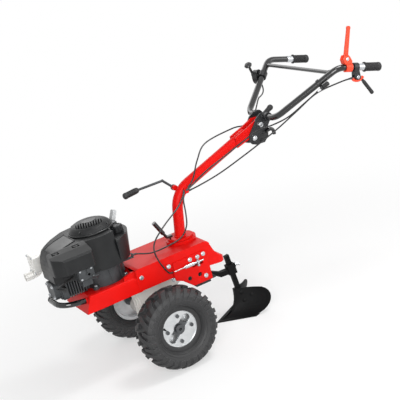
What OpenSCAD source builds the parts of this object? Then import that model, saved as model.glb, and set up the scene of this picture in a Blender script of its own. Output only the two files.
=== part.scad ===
// Walk-behind two-wheel tractor with a ridger on its hitch.
// Millimetres. X runs rearward to the operator, Y to the machine's right, Z up.
// The origin is on the ground, under the middle of the outfit's length and width.
// Lengths along X are drawn from the axle, and the finished pieces are moved to the origin together.

/* [Wheels] */
// Tyre outer radius over the lugs
tyre_r = 165; // [160:1:170]
// Tyre section width
tyre_w = 124; // [116:1:128]
// Distance between the mid-planes of the wheels
track = 456; // [450:1:476]
// Lugs on each side of one tyre
lug_count = 15; // [12:1:16]
// Height of a lug over the casing
lug_h = 13; // [10:0.5:14]
// Rim radius under the bead
rim_r = 76; // [74:0.5:78]
// Pitch circle radius of the wheel bolts
bolt_pcr = 52; // [50:0.5:54]
// Axle radius
axle_r = 12.5; // [11:0.5:14]

/* [Frame] */
// Height of the engine deck above the axle
deck_rise = 211; // [208:1:216]
// Half of the width over the frame rails
frame_half = 113; // [111:0.5:115]
// Depth of the rails
rail_h = 66; // [64:0.5:68]
// Thickness of the frame sheet
sheet_t = 4; // [3:0.5:5]
// Distance of the front plate ahead of the axle
front_reach = 292; // [286:1:298]
// Thickness of the belt hood's sheet
hood_t = 2.7; // [2:0.1:3]
// Height of the hood over the deck
hood_rise = 28; // [26:0.5:30]
// Thickness of the side plates
plate_t = 5.6; // [4.5:0.1:6.5]
// Radius of the front bumper tube
bumper_r = 11; // [9.5:0.5:12]

/* [Engine] */
// Distance of the crankshaft ahead of the axle
crank_reach = 150; // [146:1:154]
// Radius of the blower housing round the crankshaft
blower_r = 124; // [120:1:127]
// Radius of the starter cover
starter_r = 86; // [80:1:90]
// Slots in the starter cover
slot_count = 11; // [7:1:12]
// Cooling fins on the cylinder
fin_count = 8; // [6:1:9]
// Radius of the fuel cap
cap_r = 23; // [21:1:25]

/* [Drive] */
// Radius of the engine pulley
drive_pulley_r = 34; // [31:1:36]
// Radius of the gearbox pulley
driven_pulley_r = 58; // [54:1:60]
// Thickness of the belt
belt_t = 8; // [7:0.5:9]
// Teeth on the axle gear
gear_teeth = 24; // [20:1:28]

/* [Handlebar] */
// Radius of the column tube
column_r = 22; // [20:0.5:23]
// Wall of the column tube
column_wall = 3; // [2:0.5:4]
// Radius of the handle tubes
bar_r = 13; // [12:0.5:13.5]
// Wall of the handle tubes
bar_wall = 2; // [1.5:0.25:3]
// Half of the width between the grips
bar_half = 272; // [264:1:280]
// Length of a grip
grip_len = 96; // [90:1:100]
// Radius of a grip
grip_r = 17.5; // [16:0.5:19]
// Ribs round a grip
grip_ribs = 12; // [8:1:14]

/* [Ridger] */
// Half of the width over the wings
wing_half = 110; // [100:1:118]
// Height of the wings at the shank
wing_h = 114; // [108:1:118]
// Thickness of the wing plates
wing_t = 5; // [4:0.5:6]
// Shank width along the travel
shank_l = 20; // [18:0.5:22]
// Shank width across the travel
shank_w = 16; // [14:0.5:18]
// Rearward lean of the shank's foot in degrees
shank_lean = 5.9; // [4:0.1:7]

/* [Fits] */
// Gap between faces that slide past each other
run_gap = 0.4; // [0.3:0.05:0.6]
// Gap round a seated piece
seat_gap = 0.3; // [0.2:0.05:0.4]
// Radial clearance of a pin or shaft in its bore
pin_gap = 0.05; // [0.02:0.01:0.1]

/* [Hidden] */
$fn = 48;

red = "#C8281E";
black = "#26272A";
dark_grey = "#4A4C4E";
cast_grey = "#9A9C9C";
zinc = "#C4C6C6";
chrome = "#D8DADC";
rubber = "#2B2B2B";
soil_black = "#1B1B1C";

// Distance of the middle of the outfit's length behind the axle
middle_x = 355.96;
axle_z = tyre_r;
deck_z = axle_z + deck_rise;
axle_drop = -deck_rise;
wheel_y = track / 2;

// Frame stations along X and heights over the deck
front_x = -front_reach;
front_lean = 28;
hood_front = -62;
deck_end = -50;
rear_x = 238;
web_low = -rail_h + 2;
web_top = -sheet_t;
floor_low = -58;
floor_t = 5;
floor_top = floor_low + floor_t;
rail_bend = 12;
hood_half = frame_half + seat_gap + hood_t;
hood_low = -54;
hood_bend = 15;
plate_in = hood_half + seat_gap;
plate_out = plate_in + plate_t;
screw_r = 4;
screw_hole_r = screw_r + seat_gap;
bumper_y = frame_half - 33;
bumper_z = -24;
bumper_back = front_x + front_lean + 8;
bumper_front = -376;
bumper_front_z = -7;
bumper_bend_r = 54;
bumper_wall = 2;
engine_bolt_pcr = 92;
engine_bolt_turn = 45;

// Side plate screws and hood screw as X and height over the deck
plate_screws = [[75, -9], [169, -17], [203, -18], [230, -15], [220, -106]];
hood_screws = [[-44, -10]];

// Belt drive plan
crank_x = -crank_reach;
input_x = 92;
belt_low = -41;
belt_h = 17;
crank_r = 11;
input_r = 10;
idler_pivot = [197, 43 - frame_half];
idler_at = [52, 21 - frame_half];
idler_r = 14;
rod_y = -plate_out - 8;
rod_z = -36;
arm_t = 6;
arm_slot = [172, 222];

// Steering swivel and column
swivel_x = 205;
swivel_r = 62;
swivel_t = 12;
swivel_top = hood_rise + seat_gap + swivel_t;
flange_r = 52;
flange_t = 8;
flange_low = swivel_top + run_gap;
spigot_r = 12;
lock_pcr = 44;
lock_throw = 9;
column_foot = [swivel_x, 0, flange_low + 6];
column_bend = [237, 0, 222];
column_head = [600, 0, 351];
column_bend_r = 112;
tilt_pivot = [661, 0, 372];
fork_in = 17;
fork_out = 25;
cheek_in = fork_out + run_gap;
cheek_t = 6;
cheek_out = cheek_in + cheek_t;
pivot_r = 8;

// Handle tubes, right hand side; the left is their mirror image
bar_x = 694;
bar_z = 396;
bar_start = [bar_x, cheek_out + seat_gap, bar_z];
bar_knee = [bar_x, 109, bar_z];
bar_elbow = [931, bar_half, 544];
bar_end = [1118, bar_half, 490];
socket_len = 24;
bar_bend_r = 60;
bar_slope = atan2(bar_end[0] - bar_elbow[0], bar_end[2] - bar_elbow[2]);
bar_run = bar_end - bar_elbow;
bar_run_len = norm(bar_run);
bar_rise = bar_elbow - bar_knee;
cross_share = 0.9;
cross_r = 8;
throttle_share = 0.7;

// Hitch and ridger, heights over the deck for the hitch and over the ground for the wings
hitch_pin_x = 250;
hitch_pin_r = 8;
bar_block_low = -162;
bar_block_h = 30;
clevis_gap = 0.5;
drawbar_w = 25;
clamp_x = 386;
clamp_z = -174;
clamp_len = 46;
clamp_wall = 7;
share_t = 6;
tip_x = 265;

function unit(v) = v / norm(v);
function bez(a, b, c, d, n) = [
    for (i = [0:n]) let (t = i / n, s = 1 - t)
        s * s * s * a + 3 * s * s * t * b + 3 * s * t * t * c + t * t * t * d
];
function reverse(list) = [for (i = [len(list) - 1:-1:0]) list[i]];
function arc(c, r, a0, a1, n) = [
    for (i = [0:n]) let (a = a0 + (a1 - a0) * i / n) c + r * [cos(a), sin(a)]
];

// Moves a shape drawn from the axle to its place round the origin
module on_ground() {
    translate([-middle_x, 0, 0]) children();
}

// Does the same with a shape drawn over the deck
module on_deck() {
    on_ground() translate([0, 0, deck_z]) children();
}

// Extrudes an outline of Y and Z from x0 to x1
module along_x(x0, x1) {
    translate([x0, 0, 0]) rotate([90, 0, 90]) linear_extrude(x1 - x0) children();
}

// Extrudes an outline of X and Z from y0 to y1
module along_y(y0, y1) {
    translate([0, y1, 0]) rotate([90, 0, 0]) linear_extrude(y1 - y0) children();
}

// A cylinder along Y
module y_pin(x, z, r, y0, y1) {
    along_y(y0, y1) translate([x, z]) circle(r);
}

// A round bar between two points
module rod(p, q, r) {
    d = q - p;
    translate(p) rotate([0, acos(d[2] / norm(d)), atan2(d[1], d[0])]) cylinder(r = r, h = norm(d));
}

// A turned form from p to q; its profile gives radius and distance from p
module turned(p, q, profile) {
    d = q - p;
    translate(p) rotate([0, acos(d[2] / norm(d)), atan2(d[1], d[0])]) rotate_extrude() polygon(profile);
}

// A round bar through the points, with a bend of radius bend_r at each inner one
module bent_bar(pts, r, bend_r) {
    last = len(pts) - 1;
    cut = [for (i = [0:last]) i == 0 || i == last ? 0 : bend_r * tan(turn(pts, i) / 2)];
    for (i = [0:last - 1]) {
        d = unit(pts[i + 1] - pts[i]);
        rod(pts[i] + d * cut[i], pts[i + 1] - d * cut[i + 1], r);
    }
    for (i = [1:last - 1]) elbow(pts, i, r, bend_r, cut[i]);
}

function turn(pts, i) = acos(unit(pts[i] - pts[i - 1]) * unit(pts[i + 1] - pts[i]));

module elbow(pts, i, r, bend_r, cut) {
    d1 = unit(pts[i] - pts[i - 1]);
    d2 = unit(pts[i + 1] - pts[i]);
    inward = unit(d2 - d1 * (d1 * d2));
    c = pts[i] - d1 * cut + inward * bend_r;
    e1 = -inward;
    e3 = cross(e1, d1);
    multmatrix([
        [e1[0], d1[0], e3[0], c[0]],
        [e1[1], d1[1], e3[1], c[1]],
        [e1[2], d1[2], e3[2], c[2]],
        [0, 0, 0, 1]
    ]) rotate_extrude(angle = turn(pts, i)) translate([bend_r, 0]) circle(r);
}

// A smooth cable through its route points
function spline(pts, k) = [
    for (i = [0:len(pts) - 2], j = [0:k - 1])
        let (a = pts[max(i - 1, 0)], b = pts[i], c = pts[i + 1], d = pts[min(i + 2, len(pts) - 1)], t = j / k)
        0.5 * (2 * b + (c - a) * t + (2 * a - 5 * b + 4 * c - d) * t * t + (3 * b - a - 3 * c + d)
            * t * t * t),
    pts[len(pts) - 1]
];

// Points round a path, one ring for each point and its direction
function rings(path, r, sides) = [
    for (step = path)
        let (t = step[1], side = unit(cross(t, [0.2, 1, 0.1])), up = cross(side, t))
        for (s = [0:sides - 1]) step[0] + r * (cos(360 * s / sides) * side + sin(360 * s / sides) * up)
];

// Triangles of the wall between rings, from the point numbered first
function walls(count, sides, first) = [
    for (i = [0:count - 2], s = [0:sides - 1], half = [0, 1])
        let (a = first + i * sides, b = a + sides, s2 = (s + 1) % sides)
        half == 0 ? [a + s, a + s2, b + s2] : [a + s, b + s2, b + s]
];

function flipped(faces) = [for (f = faces) [f[0], f[2], f[1]]];

module cable(route, r, k = 4, sides = 8) {
    line = spline(route, k);
    n = len(line);
    path = [for (i = [0:n - 1]) [line[i], unit(line[min(i + 1, n - 1)] - line[max(i - 1, 0)])]];
    start = [for (s = [1:sides - 2]) [0, s + 1, s]];
    end = [for (s = [1:sides - 2]) (n - 1) * sides * [1, 1, 1] + [0, s, s + 1]];
    polyhedron(points = rings(path, r, sides), faces = concat(walls(n, sides, 0), start, end), convexity = 8);
}

// Points and directions along a line whose corners are rounded to bend_r
function bend_path(pts, bend_r, steps) =
    let (last = len(pts) - 1)
    concat(
        [[pts[0], unit(pts[1] - pts[0])]],
        [
            for (i = [1:last - 1], k = [0:steps])
                let (
                    d1 = unit(pts[i] - pts[i - 1]),
                    d2 = unit(pts[i + 1] - pts[i]),
                    inward = unit(d2 - d1 * (d1 * d2)),
                    a = turn(pts, i) * k / steps,
                    c = pts[i] - d1 * bend_r * tan(turn(pts, i) / 2) + inward * bend_r
                )
                [c + bend_r * (d1 * sin(a) - inward * cos(a)), d1 * cos(a) + inward * sin(a)]
        ],
        [[pts[last], unit(pts[last] - pts[last - 1])]]
    );

// A bent pipe with its bore
module bent_pipe(pts, r, wall, bend_r, sides, steps = 6) {
    path = bend_path(pts, bend_r, steps);
    n = len(path);
    inner = n * sides;
    far = (n - 1) * sides;
    mouth = [
        for (s = [0:sides - 1], half = [0, 1])
            let (s2 = (s + 1) % sides)
            half == 0 ? [s2, s, inner + s] : [s2, inner + s, inner + s2]
    ];
    tail = [for (f = flipped(mouth)) f + far * [1, 1, 1]];
    polyhedron(
        points = concat(rings(path, r, sides), rings(path, r - wall, sides)),
        faces = concat(walls(n, sides, 0), flipped(walls(n, sides, inner)), mouth, tail),
        convexity = 8
    );
}

// A rectangle from corner a to corner b with round corners
module round_rect(a, b, r) {
    size = b - a;
    translate(a + [r, 0]) square([size[0] - 2 * r, size[1]]);
    translate(a + [0, r]) square([size[0], size[1] - 2 * r]);
    for (x = [a[0] + r, b[0] - r], y = [a[1] + r, b[1] - r]) translate([x, y]) circle(r);
}

// An outline of Y and Z with square feet and round shoulders
module round_top(half, low, top, r) {
    translate([-half, low]) square([2 * half, top - low - r]);
    translate([-half + r, low]) square([2 * half - 2 * r, top - low]);
    for (s = [-1, 1]) translate([s * (half - r), top - r]) circle(r);
}

// Frame, hood and plates

module screw_holes() {
    for (p = concat(plate_screws, hood_screws))
        y_pin(p[0], p[1], screw_hole_r, -plate_out - 1, plate_out + 1);
}

module engine_bolt_places() {
    for (i = [0:3]) {
        a = engine_bolt_turn + 90 * i;
        translate([crank_x + engine_bolt_pcr * cos(a), engine_bolt_pcr * sin(a), 0]) children();
    }
}

module main_frame() {
    riser_y = frame_half - 15;
    riser = [[-112, -1], [-108, 12], [-78, 21], [deck_end, 21], [deck_end, -1]];
    color(red) on_deck() difference() {
        union() {
            difference() {
                along_x(front_x, deck_end) difference() {
                    round_top(frame_half, -rail_h, 0, rail_bend);
                    round_top(frame_half - sheet_t, -rail_h - 1, -sheet_t, rail_bend - sheet_t);
                }
                along_y(-200, 200) polygon([
                    [front_x, -rail_h], [front_x + front_lean, 0], [front_x + front_lean, 1],
                    [front_x - 1, 1], [front_x - 1, -rail_h]
                ]);
            }
            intersection() {
                along_x(front_x, deck_end) round_top(frame_half, -rail_h, 0, rail_bend);
                along_y(-200, 200) polygon([
                    [front_x, -rail_h], [front_x + front_lean, 0],
                    [front_x + front_lean + sheet_t, 0], [front_x + sheet_t, -rail_h]
                ]);
            }
            for (s = [-1, 1]) along_y(s * riser_y - 6, s * riser_y + 6) polygon(riser);
            for (s = [-1, 1]) translate([deck_end - 1, s * (frame_half - sheet_t / 2), web_low])
                translate([0, -sheet_t / 2, 0]) cube([rear_x - deck_end + 1, sheet_t, web_top - web_low]);
            translate([rear_x - sheet_t, -frame_half, web_low])
                cube([sheet_t, 2 * frame_half, web_top - web_low]);
            translate([deck_end - 1, -frame_half, floor_low])
                cube([rear_x - deck_end + 1, 2 * frame_half, floor_t]);
        }
        translate([crank_x, 0, -sheet_t - 1]) cylinder(r = drive_pulley_r + 8, h = sheet_t + 2);
        translate([input_x, 0, floor_low - 1]) cylinder(r = input_r + 8, h = floor_t + 2);
        engine_bolt_places() translate([0, 0, -sheet_t - 1]) cylinder(r = screw_hole_r, h = sheet_t + 2);
        for (s = [-1, 1]) rod(
            [bumper_back, s * bumper_y, bumper_z], [bumper_front, s * bumper_y, bumper_front_z],
                bumper_r + seat_gap
        );
        translate([arm_slot[0], -frame_half - 1, floor_top])
            cube([arm_slot[1] - arm_slot[0], sheet_t + 2, 12]);
        translate([idler_pivot[0], idler_pivot[1], floor_low - 1]) cylinder(r = 6 + pin_gap, h = floor_t + 2);
        screw_holes();
    }
}

// Outer form of the hood, shrunk by the sheet for its inside
module hood_form(inset) {
    top = hood_rise - inset;
    low = inset > 0 ? hood_low - 40 : hood_low;
    front = inset > 0 ? hood_front - 10 : hood_front;
    side = concat(
        [[front, low], [front, top - 3], [front + 14, top]],
        bez([246, top], [258 - inset, top], [266 - inset, top - 4], [269 - inset, top - 12], 5),
        bez([270 - inset, top - 18], [278 - inset, top - 40], [282 - inset, top - 62],
            [306 - inset, top - 80], 6),
        bez([316 - inset, top - 84], [324 - inset, top - 88], [328 - inset, top - 96],
            [327 - inset, top - 108], 5),
        [[322 - inset, inset > 0 ? low : -84], [249 + inset, inset > 0 ? low : -76], [249, low]]
    );
    intersection() {
        along_y(-hood_half - 1, hood_half + 1) polygon(side);
        along_x(hood_front - 12, 340) round_top(hood_half - inset, hood_low - 50, hood_rise + 12 - inset,
            hood_bend);
        translate([0, 0, hood_low - 60]) linear_extrude(160)
            round_rect([hood_front - 60, -hood_half + inset], [327 - inset, hood_half - inset], 38);
    }
}

module belt_hood() {
    color(red) on_deck() difference() {
        hood_form(0);
        hood_form(hood_t);
        translate([swivel_x, 0, 0]) cylinder(r = 26 + seat_gap, h = hood_rise + 20);
        translate([arm_slot[0], -hood_half - 1, hood_low - 1])
            cube([arm_slot[1] - arm_slot[0], hood_t + 4, 14]);
        screw_holes();
    }
}

module plate_outline() {
    difference() {
        polygon(concat(
            [[88, -60], [96, -6], [100, -4], [240, -4], [246, -10]],
            [[246, -120]],
            arc([240, -122], 6, 0, -90, 4),
            [[160, -128], [118, -90], [92, -78]]
        ));
        translate([150, -92]) circle(9);
        translate([196, -92]) circle(9);
    }
}

module side_plate_blank(y0, y1) {
    along_y(y0, y1) plate_outline();
}

module left_side_plate() {
    color(red) on_deck() difference() {
        union() {
            side_plate_blank(-plate_out, -plate_in);
            translate([84, rod_y - 7, rod_z - 12]) cube([4, -plate_in - rod_y + 7, 22]);
            translate([84, -plate_in - 3, rod_z - 12]) cube([22, 3, 22]);
        }
        translate([arm_slot[0], -plate_out - 1, floor_top])
            cube([arm_slot[1] - arm_slot[0], plate_t + 2, 12]);
        translate([83, rod_y, rod_z]) rotate([0, 90, 0]) cylinder(r = 2 + run_gap, h = 6);
        screw_holes();
    }
}

module right_side_plate() {
    color(red) on_deck() difference() {
        side_plate_blank(plate_in, plate_out);
        screw_holes();
    }
}

module plate_screw(x, z, seat) {
    rotate_away = seat < 0 ? 90 : -90;
    translate([x, seat, z]) rotate([rotate_away, 0, 0]) {
        cylinder(r = 9, h = 1.6);
        translate([0, 0, 1.6]) cylinder(r = 6.6, h = 5, $fn = 6);
        translate([0, 0, -16]) cylinder(r = screw_r, h = 17);
    }
}

module frame_screws() {
    color(zinc) on_deck() {
        for (s = [-1, 1]) {
            for (p = plate_screws) plate_screw(p[0], p[1], s * plate_out);
            for (p = hood_screws) plate_screw(p[0], p[1], s * hood_half);
        }
        engine_bolt_places() {
            translate([0, 0, engine_foot_t + seat_gap]) cylinder(r = 7, h = 6, $fn = 6);
            translate([0, 0, -sheet_t - 8]) cylinder(r = screw_r, h = sheet_t + engine_foot_t + 9);
        }
    }
}

module front_bumper() {
    color(black) on_deck() bent_pipe([
        [bumper_back, -bumper_y, bumper_z],
        [bumper_front, -bumper_y, bumper_front_z],
        [bumper_front, bumper_y, bumper_front_z],
        [bumper_back, bumper_y, bumper_z]
    ], bumper_r, bumper_wall, bumper_bend_r, 20);
}

// Gearbox, axle and wheels

module case_outline(grow) {
    polygon([
        [-58 - grow, floor_low], [170 + grow, floor_low], [170 + grow, -90 - grow], [116 + grow, -124 - grow],
        [56 + grow, -136 - grow], [46 + grow, axle_drop], [-46 - grow, axle_drop], [-50 - grow, -124 - grow],
        [-58 - grow, -104 - grow]
    ]);
    translate([0, axle_drop]) circle(47 + grow);
}

module gearbox_case() {
    color(cast_grey) on_deck() difference() {
        union() {
            along_y(-50, 50) case_outline(0);
            along_y(-5, 5) case_outline(5);
            for (y = [-34, 29]) along_y(y, y + 5) case_outline(2.5);
            y_pin(0, axle_drop, 31, -150, 150);
            for (s = [-1, 1]) y_pin(0, axle_drop, 41, s > 0 ? 50 : -60, s > 0 ? 60 : -50);
        }
        y_pin(0, axle_drop, axle_r + pin_gap, -151, 151);
        y_pin(0, axle_drop, 40, -12, 12);
        translate([-18, -12, axle_drop]) cube([36, 24, deck_rise - 90]);
        translate([input_x, 0, -116]) cylinder(r = input_r + pin_gap, h = 70);
    }
}

module axle_gear() {
    pitch_r = 34;
    tooth = 360 / gear_teeth;
    outline = [
        for (i = [0:gear_teeth - 1], k = [0:3])
            let (a = tooth * (i + [0.02, 0.3, 0.42, 0.6][k]), r = pitch_r + [-2.4, -2.4, 2.4, 2.4][k])
            r * [cos(a), sin(a)]
    ];
    color(cast_grey) on_deck() difference() {
        along_y(-8, 8) translate([0, axle_drop]) polygon(outline);
        y_pin(0, axle_drop, axle_r + 0.02, -9, 9);
    }
}

disc_seat = 20;
bolt_turn = -4;
hub_out = wheel_y + disc_seat;
disc_t = 4;
disc_out = hub_out + disc_t;

module axle_shaft() {
    shaft_end = hub_out - 8;
    color(dark_grey) on_deck() {
        y_pin(0, axle_drop, axle_r, -shaft_end + seat_gap, shaft_end - seat_gap);
        for (s = [0, 1]) mirror([0, s, 0]) difference() {
            union() {
                y_pin(0, axle_drop, 24, hub_out - 30, hub_out - 6);
                y_pin(0, axle_drop, bolt_pcr + 11, hub_out - 6.5, hub_out);
                y_pin(0, axle_drop, 18, hub_out - 1, disc_out + 9);
            }
            y_pin(0, axle_drop, axle_r + pin_gap, hub_out - 31, shaft_end);
            wheel_bolt_places() y_pin(0, 0, 5 + seat_gap, hub_out - 7, hub_out + 1);
            for (k = [-1, 1]) y_pin(
                k * lobe_reach * cos(lobe_turn), axle_drop + k * lobe_reach * sin(lobe_turn), lobe_r,
                hub_out - 7, hub_out + 1
            );
            y_pin(0, axle_drop, 6, disc_out - 4, disc_out + 10);
        }
    }
}

module wheel_bolt_places() {
    for (i = [0:3]) {
        a = bolt_turn + 90 * i;
        translate([bolt_pcr * cos(a), 0, axle_drop + bolt_pcr * sin(a)]) children();
    }
}

module wheel_bolts() {
    color(zinc) on_deck() for (s = [0, 1]) mirror([0, s, 0]) wheel_bolt_places() {
        y_pin(0, 0, 5, hub_out - 12, disc_out + 1);
        along_y(disc_out, disc_out + 6) circle(8, $fn = 6);
    }
}

rim_half = 28;
flange_h = 7;
eye_r = 24;
lobe_r = 18;
lobe_reach = 47;
lobe_turn = bolt_turn + 45;
bead_half = rim_half - 4.5;

module rim() {
    barrel = [
        [rim_r - 4, -rim_half], [rim_r + flange_h, -rim_half], [rim_r + flange_h, -bead_half - seat_gap],
        [rim_r, -bead_half - seat_gap], [rim_r, bead_half + seat_gap],
            [rim_r + flange_h, bead_half + seat_gap],
        [rim_r + flange_h, rim_half], [rim_r - 4, rim_half]
    ];
    difference() {
        union() {
            rotate_extrude($fn = 96) polygon(barrel);
            translate([0, 0, disc_seat]) cylinder(r = rim_r - 3, h = disc_t);
        }
        translate([0, 0, disc_seat - 1]) {
            cylinder(r = eye_r, h = disc_t + 2);
            rotate(lobe_turn) translate([-lobe_reach, -lobe_r + 1, 0])
                cube([2 * lobe_reach, 2 * lobe_r - 2, disc_t + 2]);
            for (s = [-1, 1]) rotate(lobe_turn) translate([s * lobe_reach, 0, 0])
                cylinder(r = lobe_r, h = disc_t + 2);
            for (i = [0:3]) rotate(bolt_turn + 90 * i) translate([bolt_pcr, 0, 0])
                cylinder(r = 5 + seat_gap, h = disc_t + 2);
        }
    }
}

// Stands a wheel drawn round Z on its axle, outer face away from the machine
module on_axle(side) {
    on_deck() translate([0, side * wheel_y, axle_drop]) rotate([side > 0 ? -90 : 90, 0, 0])
        mirror([0, side > 0 ? 1 : 0, 0]) children();
}

module left_rim() {
    color(zinc) on_axle(-1) rim();
}

module right_rim() {
    color(zinc) on_axle(1) rim();
}

casing_r = tyre_r - lug_h;

module tyre() {
    half = tyre_w / 2;
    bead_r = rim_r + seat_gap;
    bulge_low = rim_r + flange_h + 1;
    outer = concat(
        [[bead_r, bead_half], [bulge_low, bead_half]],
        bez([bulge_low + 1, bead_half + 2], [bulge_low + 12, half], [casing_r - 24, half + 9],
            [casing_r - 5, half - 12], 7),
        [[casing_r, half * 0.42]]
    );
    inner = concat(
        [[bead_r, bead_half - 11], [bulge_low + 4, bead_half - 9]],
        bez([bulge_low + 8, bead_half - 4], [bulge_low + 18, half - 9], [casing_r - 30, half],
            [casing_r - 16, half - 22], 5),
        [[casing_r - 12, 8]]
    );
    other_side = [for (p = reverse(outer)) [p[0], -p[1]]];
    other_in = [for (p = reverse(inner)) [p[0], -p[1]]];
    section = concat(outer, other_side, reverse(other_in), reverse(inner));
    pitch = 360 / lug_count;
    reach = half + 4;
    lug_w = 20;
    lean = 30;
    long_lug = [[-1, -lug_w / 2], [-1, lug_w / 2], [-reach, lug_w / 2 + lean],
        [-reach, -lug_w / 2 + lean + 3]];
    short_lug = [[-half / 2, -8], [-half / 2, 6], [-reach, 18], [-reach, 4]];
    crown = [
        [casing_r - 7, half * 0.3], [casing_r - 9, half - 18], [casing_r - 22, half - 7],
            [casing_r - 34, half - 5],
        [casing_r - 33, half + 1.5], [tyre_r - 28, half + 1.5], [tyre_r - 16, half - 7],
            [tyre_r - 5, half * 0.58],
        [tyre_r, half * 0.28]
    ];
    rotate_extrude($fn = 96) polygon(section);
    intersection() {
        for (s = [0, 1]) mirror([0, 0, s]) for (i = [0:lug_count - 1]) rotate(pitch * (i + s / 2)) {
            lug(long_lug);
            rotate(0.8 * pitch) lug(short_lug);
        }
        rotate_extrude($fn = 96) polygon(concat(crown, [for (p = reverse(crown)) [p[0], -p[1]]]));
    }
}

// A block of the tread whose outline lies on a flat that touches the casing
module lug(outline) {
    rotate([0, 90, 0]) translate([0, 0, casing_r - 40]) linear_extrude(lug_h + 50) polygon(outline);
}

module left_tyre() {
    color(rubber) on_axle(-1) tyre();
}

module right_tyre() {
    color(rubber) on_axle(1) tyre();
}

// Engine

engine_foot_t = 10;
case_r = 82;
case_top = 79;
engine_seat = seat_gap;
cyl_z = 40;
port_x = -328;
port_z = 26;

module engine_crankcase() {
    rib_count = 10;
    color(dark_grey) on_deck() difference() {
        union() {
            translate([crank_x, 0, engine_seat]) cylinder(r = case_r, h = case_top - engine_seat);
            translate([crank_x, 0, case_top - 12]) cylinder(r = case_r + 6, h = 12);
            for (i = [0:rib_count - 1]) rotate_about_crank(i * 36 + 18)
                translate([case_r - 4, -2.5, 14]) cube([8, 5, case_top - 20]);
            engine_bolt_places() translate([0, 0, engine_seat]) cylinder(r = 13, h = engine_foot_t);
            for (i = [0:3]) rotate_about_crank(engine_bolt_turn + 90 * i)
                translate([60, -11, engine_seat]) cube([engine_bolt_pcr - 66, 22, engine_foot_t]);
            translate([-104, -57, 58]) cube([74, 14, 5]);
            translate([-35, -57, 58]) cube([5, 14, 17]);
        }
        translate([crank_x, 0, 8]) cylinder(r = case_r - 9, h = case_top - 20);
        translate([crank_x, 0, -1]) cylinder(r = crank_r + pin_gap, h = case_top + 2);
        engine_bolt_places() translate([0, 0, -1]) cylinder(r = screw_hole_r, h = engine_foot_t + 3);
        translate([-40, -50, 67]) rotate([0, 90, 0]) cylinder(r = 3 + seat_gap, h = 20);
    }
}

module rotate_about_crank(a) {
    translate([crank_x, 0, 0]) rotate(a) children();
}

module cylinder_block() {
    barrel_end = crank_x - case_r - seat_gap;
    head_x = -326;
    fin_pitch = (barrel_end - 10 - head_x) / fin_count;
    color(dark_grey) on_deck() {
        difference() {
            translate([head_x, -40, cyl_z - 34]) cube([crank_x - head_x, 80, 68]);
            translate([crank_x, 0, 0]) cylinder(r = case_r + 6 + seat_gap, h = 100);
        }
        for (i = [0:fin_count - 1]) translate([head_x + fin_pitch * i, 0, cyl_z])
            along_x(0, 3.5) round_rect([-58, -37], [58, 37], 8);
        translate([0, 0, cyl_z]) {
            along_x(head_x - 20, head_x + 1) round_rect([-58, -37], [58, 37], 8);
            along_x(head_x - 46, head_x - 19) round_rect([-40, -32], [40, 34], 14);
            along_x(head_x - 24, head_x - 19) round_rect([-48, -36], [48, 37], 10);
            y_pin(port_x, port_z - cyl_z, 12, 50, 84);
        }
    }
}

module spark_plug() {
    start = [-338, -60 - seat_gap, 62];
    out = [-0.2, -0.98, 0];
    color(black) on_deck() {
        rod(start, start + 14 * out, 9);
        rod(start + 10 * out, start + 34 * out, 6);
        rod(start + 30 * out, start + 52 * out, 8.5);
        cable([start + 50 * out, [-380, -112, 80], [-350, -118, 92], [-300, -100, 96]], 3.5, 3);
    }
}

// Plan of the blower housing, shrunk by inset
module blower_plan(inset) {
    nose_x = -366 + inset;
    translate([crank_x, 0]) circle(blower_r - inset, $fn = 96);
    polygon([
        [crank_x, blower_r - inset], [nose_x + 26, 88 - inset], [nose_x, 62 - inset],
        [nose_x, -62 + inset], [nose_x + 26, -88 + inset], [crank_x, -blower_r + inset]
    ]);
}

blower_low = case_top + seat_gap;
blower_top = 214;
tank_cut = -104;

module blower_form(inset) {
    low = inset > 0 ? blower_low + inset : blower_low;
    intersection() {
        translate([0, 0, low]) linear_extrude(200) blower_plan(inset);
        along_y(-160, 160) polygon(concat(
            [[-366 + inset, low], [-366 + inset, 122 - inset]],
            bez([-364 + inset, 140 - inset], [-356, 176 - inset], [-330, 190 - inset],
                [-288, 204 - inset], 6),
            [[-240, blower_top - inset], [tank_cut - inset, blower_top - inset], [tank_cut - inset, low]]
        ));
    }
}

module blower_housing() {
    wall = 3;
    color(black) on_deck() difference() {
        blower_form(0);
        blower_form(wall);
        translate([crank_x, 0, blower_low - 1]) cylinder(r = 66, h = 10);
        translate([crank_x, 0, blower_top - 10]) cylinder(r = starter_r - 12, h = 20);
        for (i = [0:3]) translate([-330 + 14 * i, -30, 150]) cube([6, 60, 80]);
    }
    color(black) on_deck() difference() {
        union() {
            translate([tank_cut - 2, guide_at[1] - 12, guide_low + 4])
                cube([guide_at[0] - tank_cut, 24, guide_top - guide_low - 7]);
            translate([guide_at[0], guide_at[1], guide_low]) cylinder(r = 16, h = guide_top - guide_low);
        }
        translate([guide_at[0], guide_at[1], guide_low - 1]) cylinder(r = 4, h = 40);
    }
}

// Where the starter rope comes out behind the housing
guide_at = [-48, 22];
guide_low = 183;
guide_top = 200;

starter_low = blower_top + seat_gap;
dome_top = 251;

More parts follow.
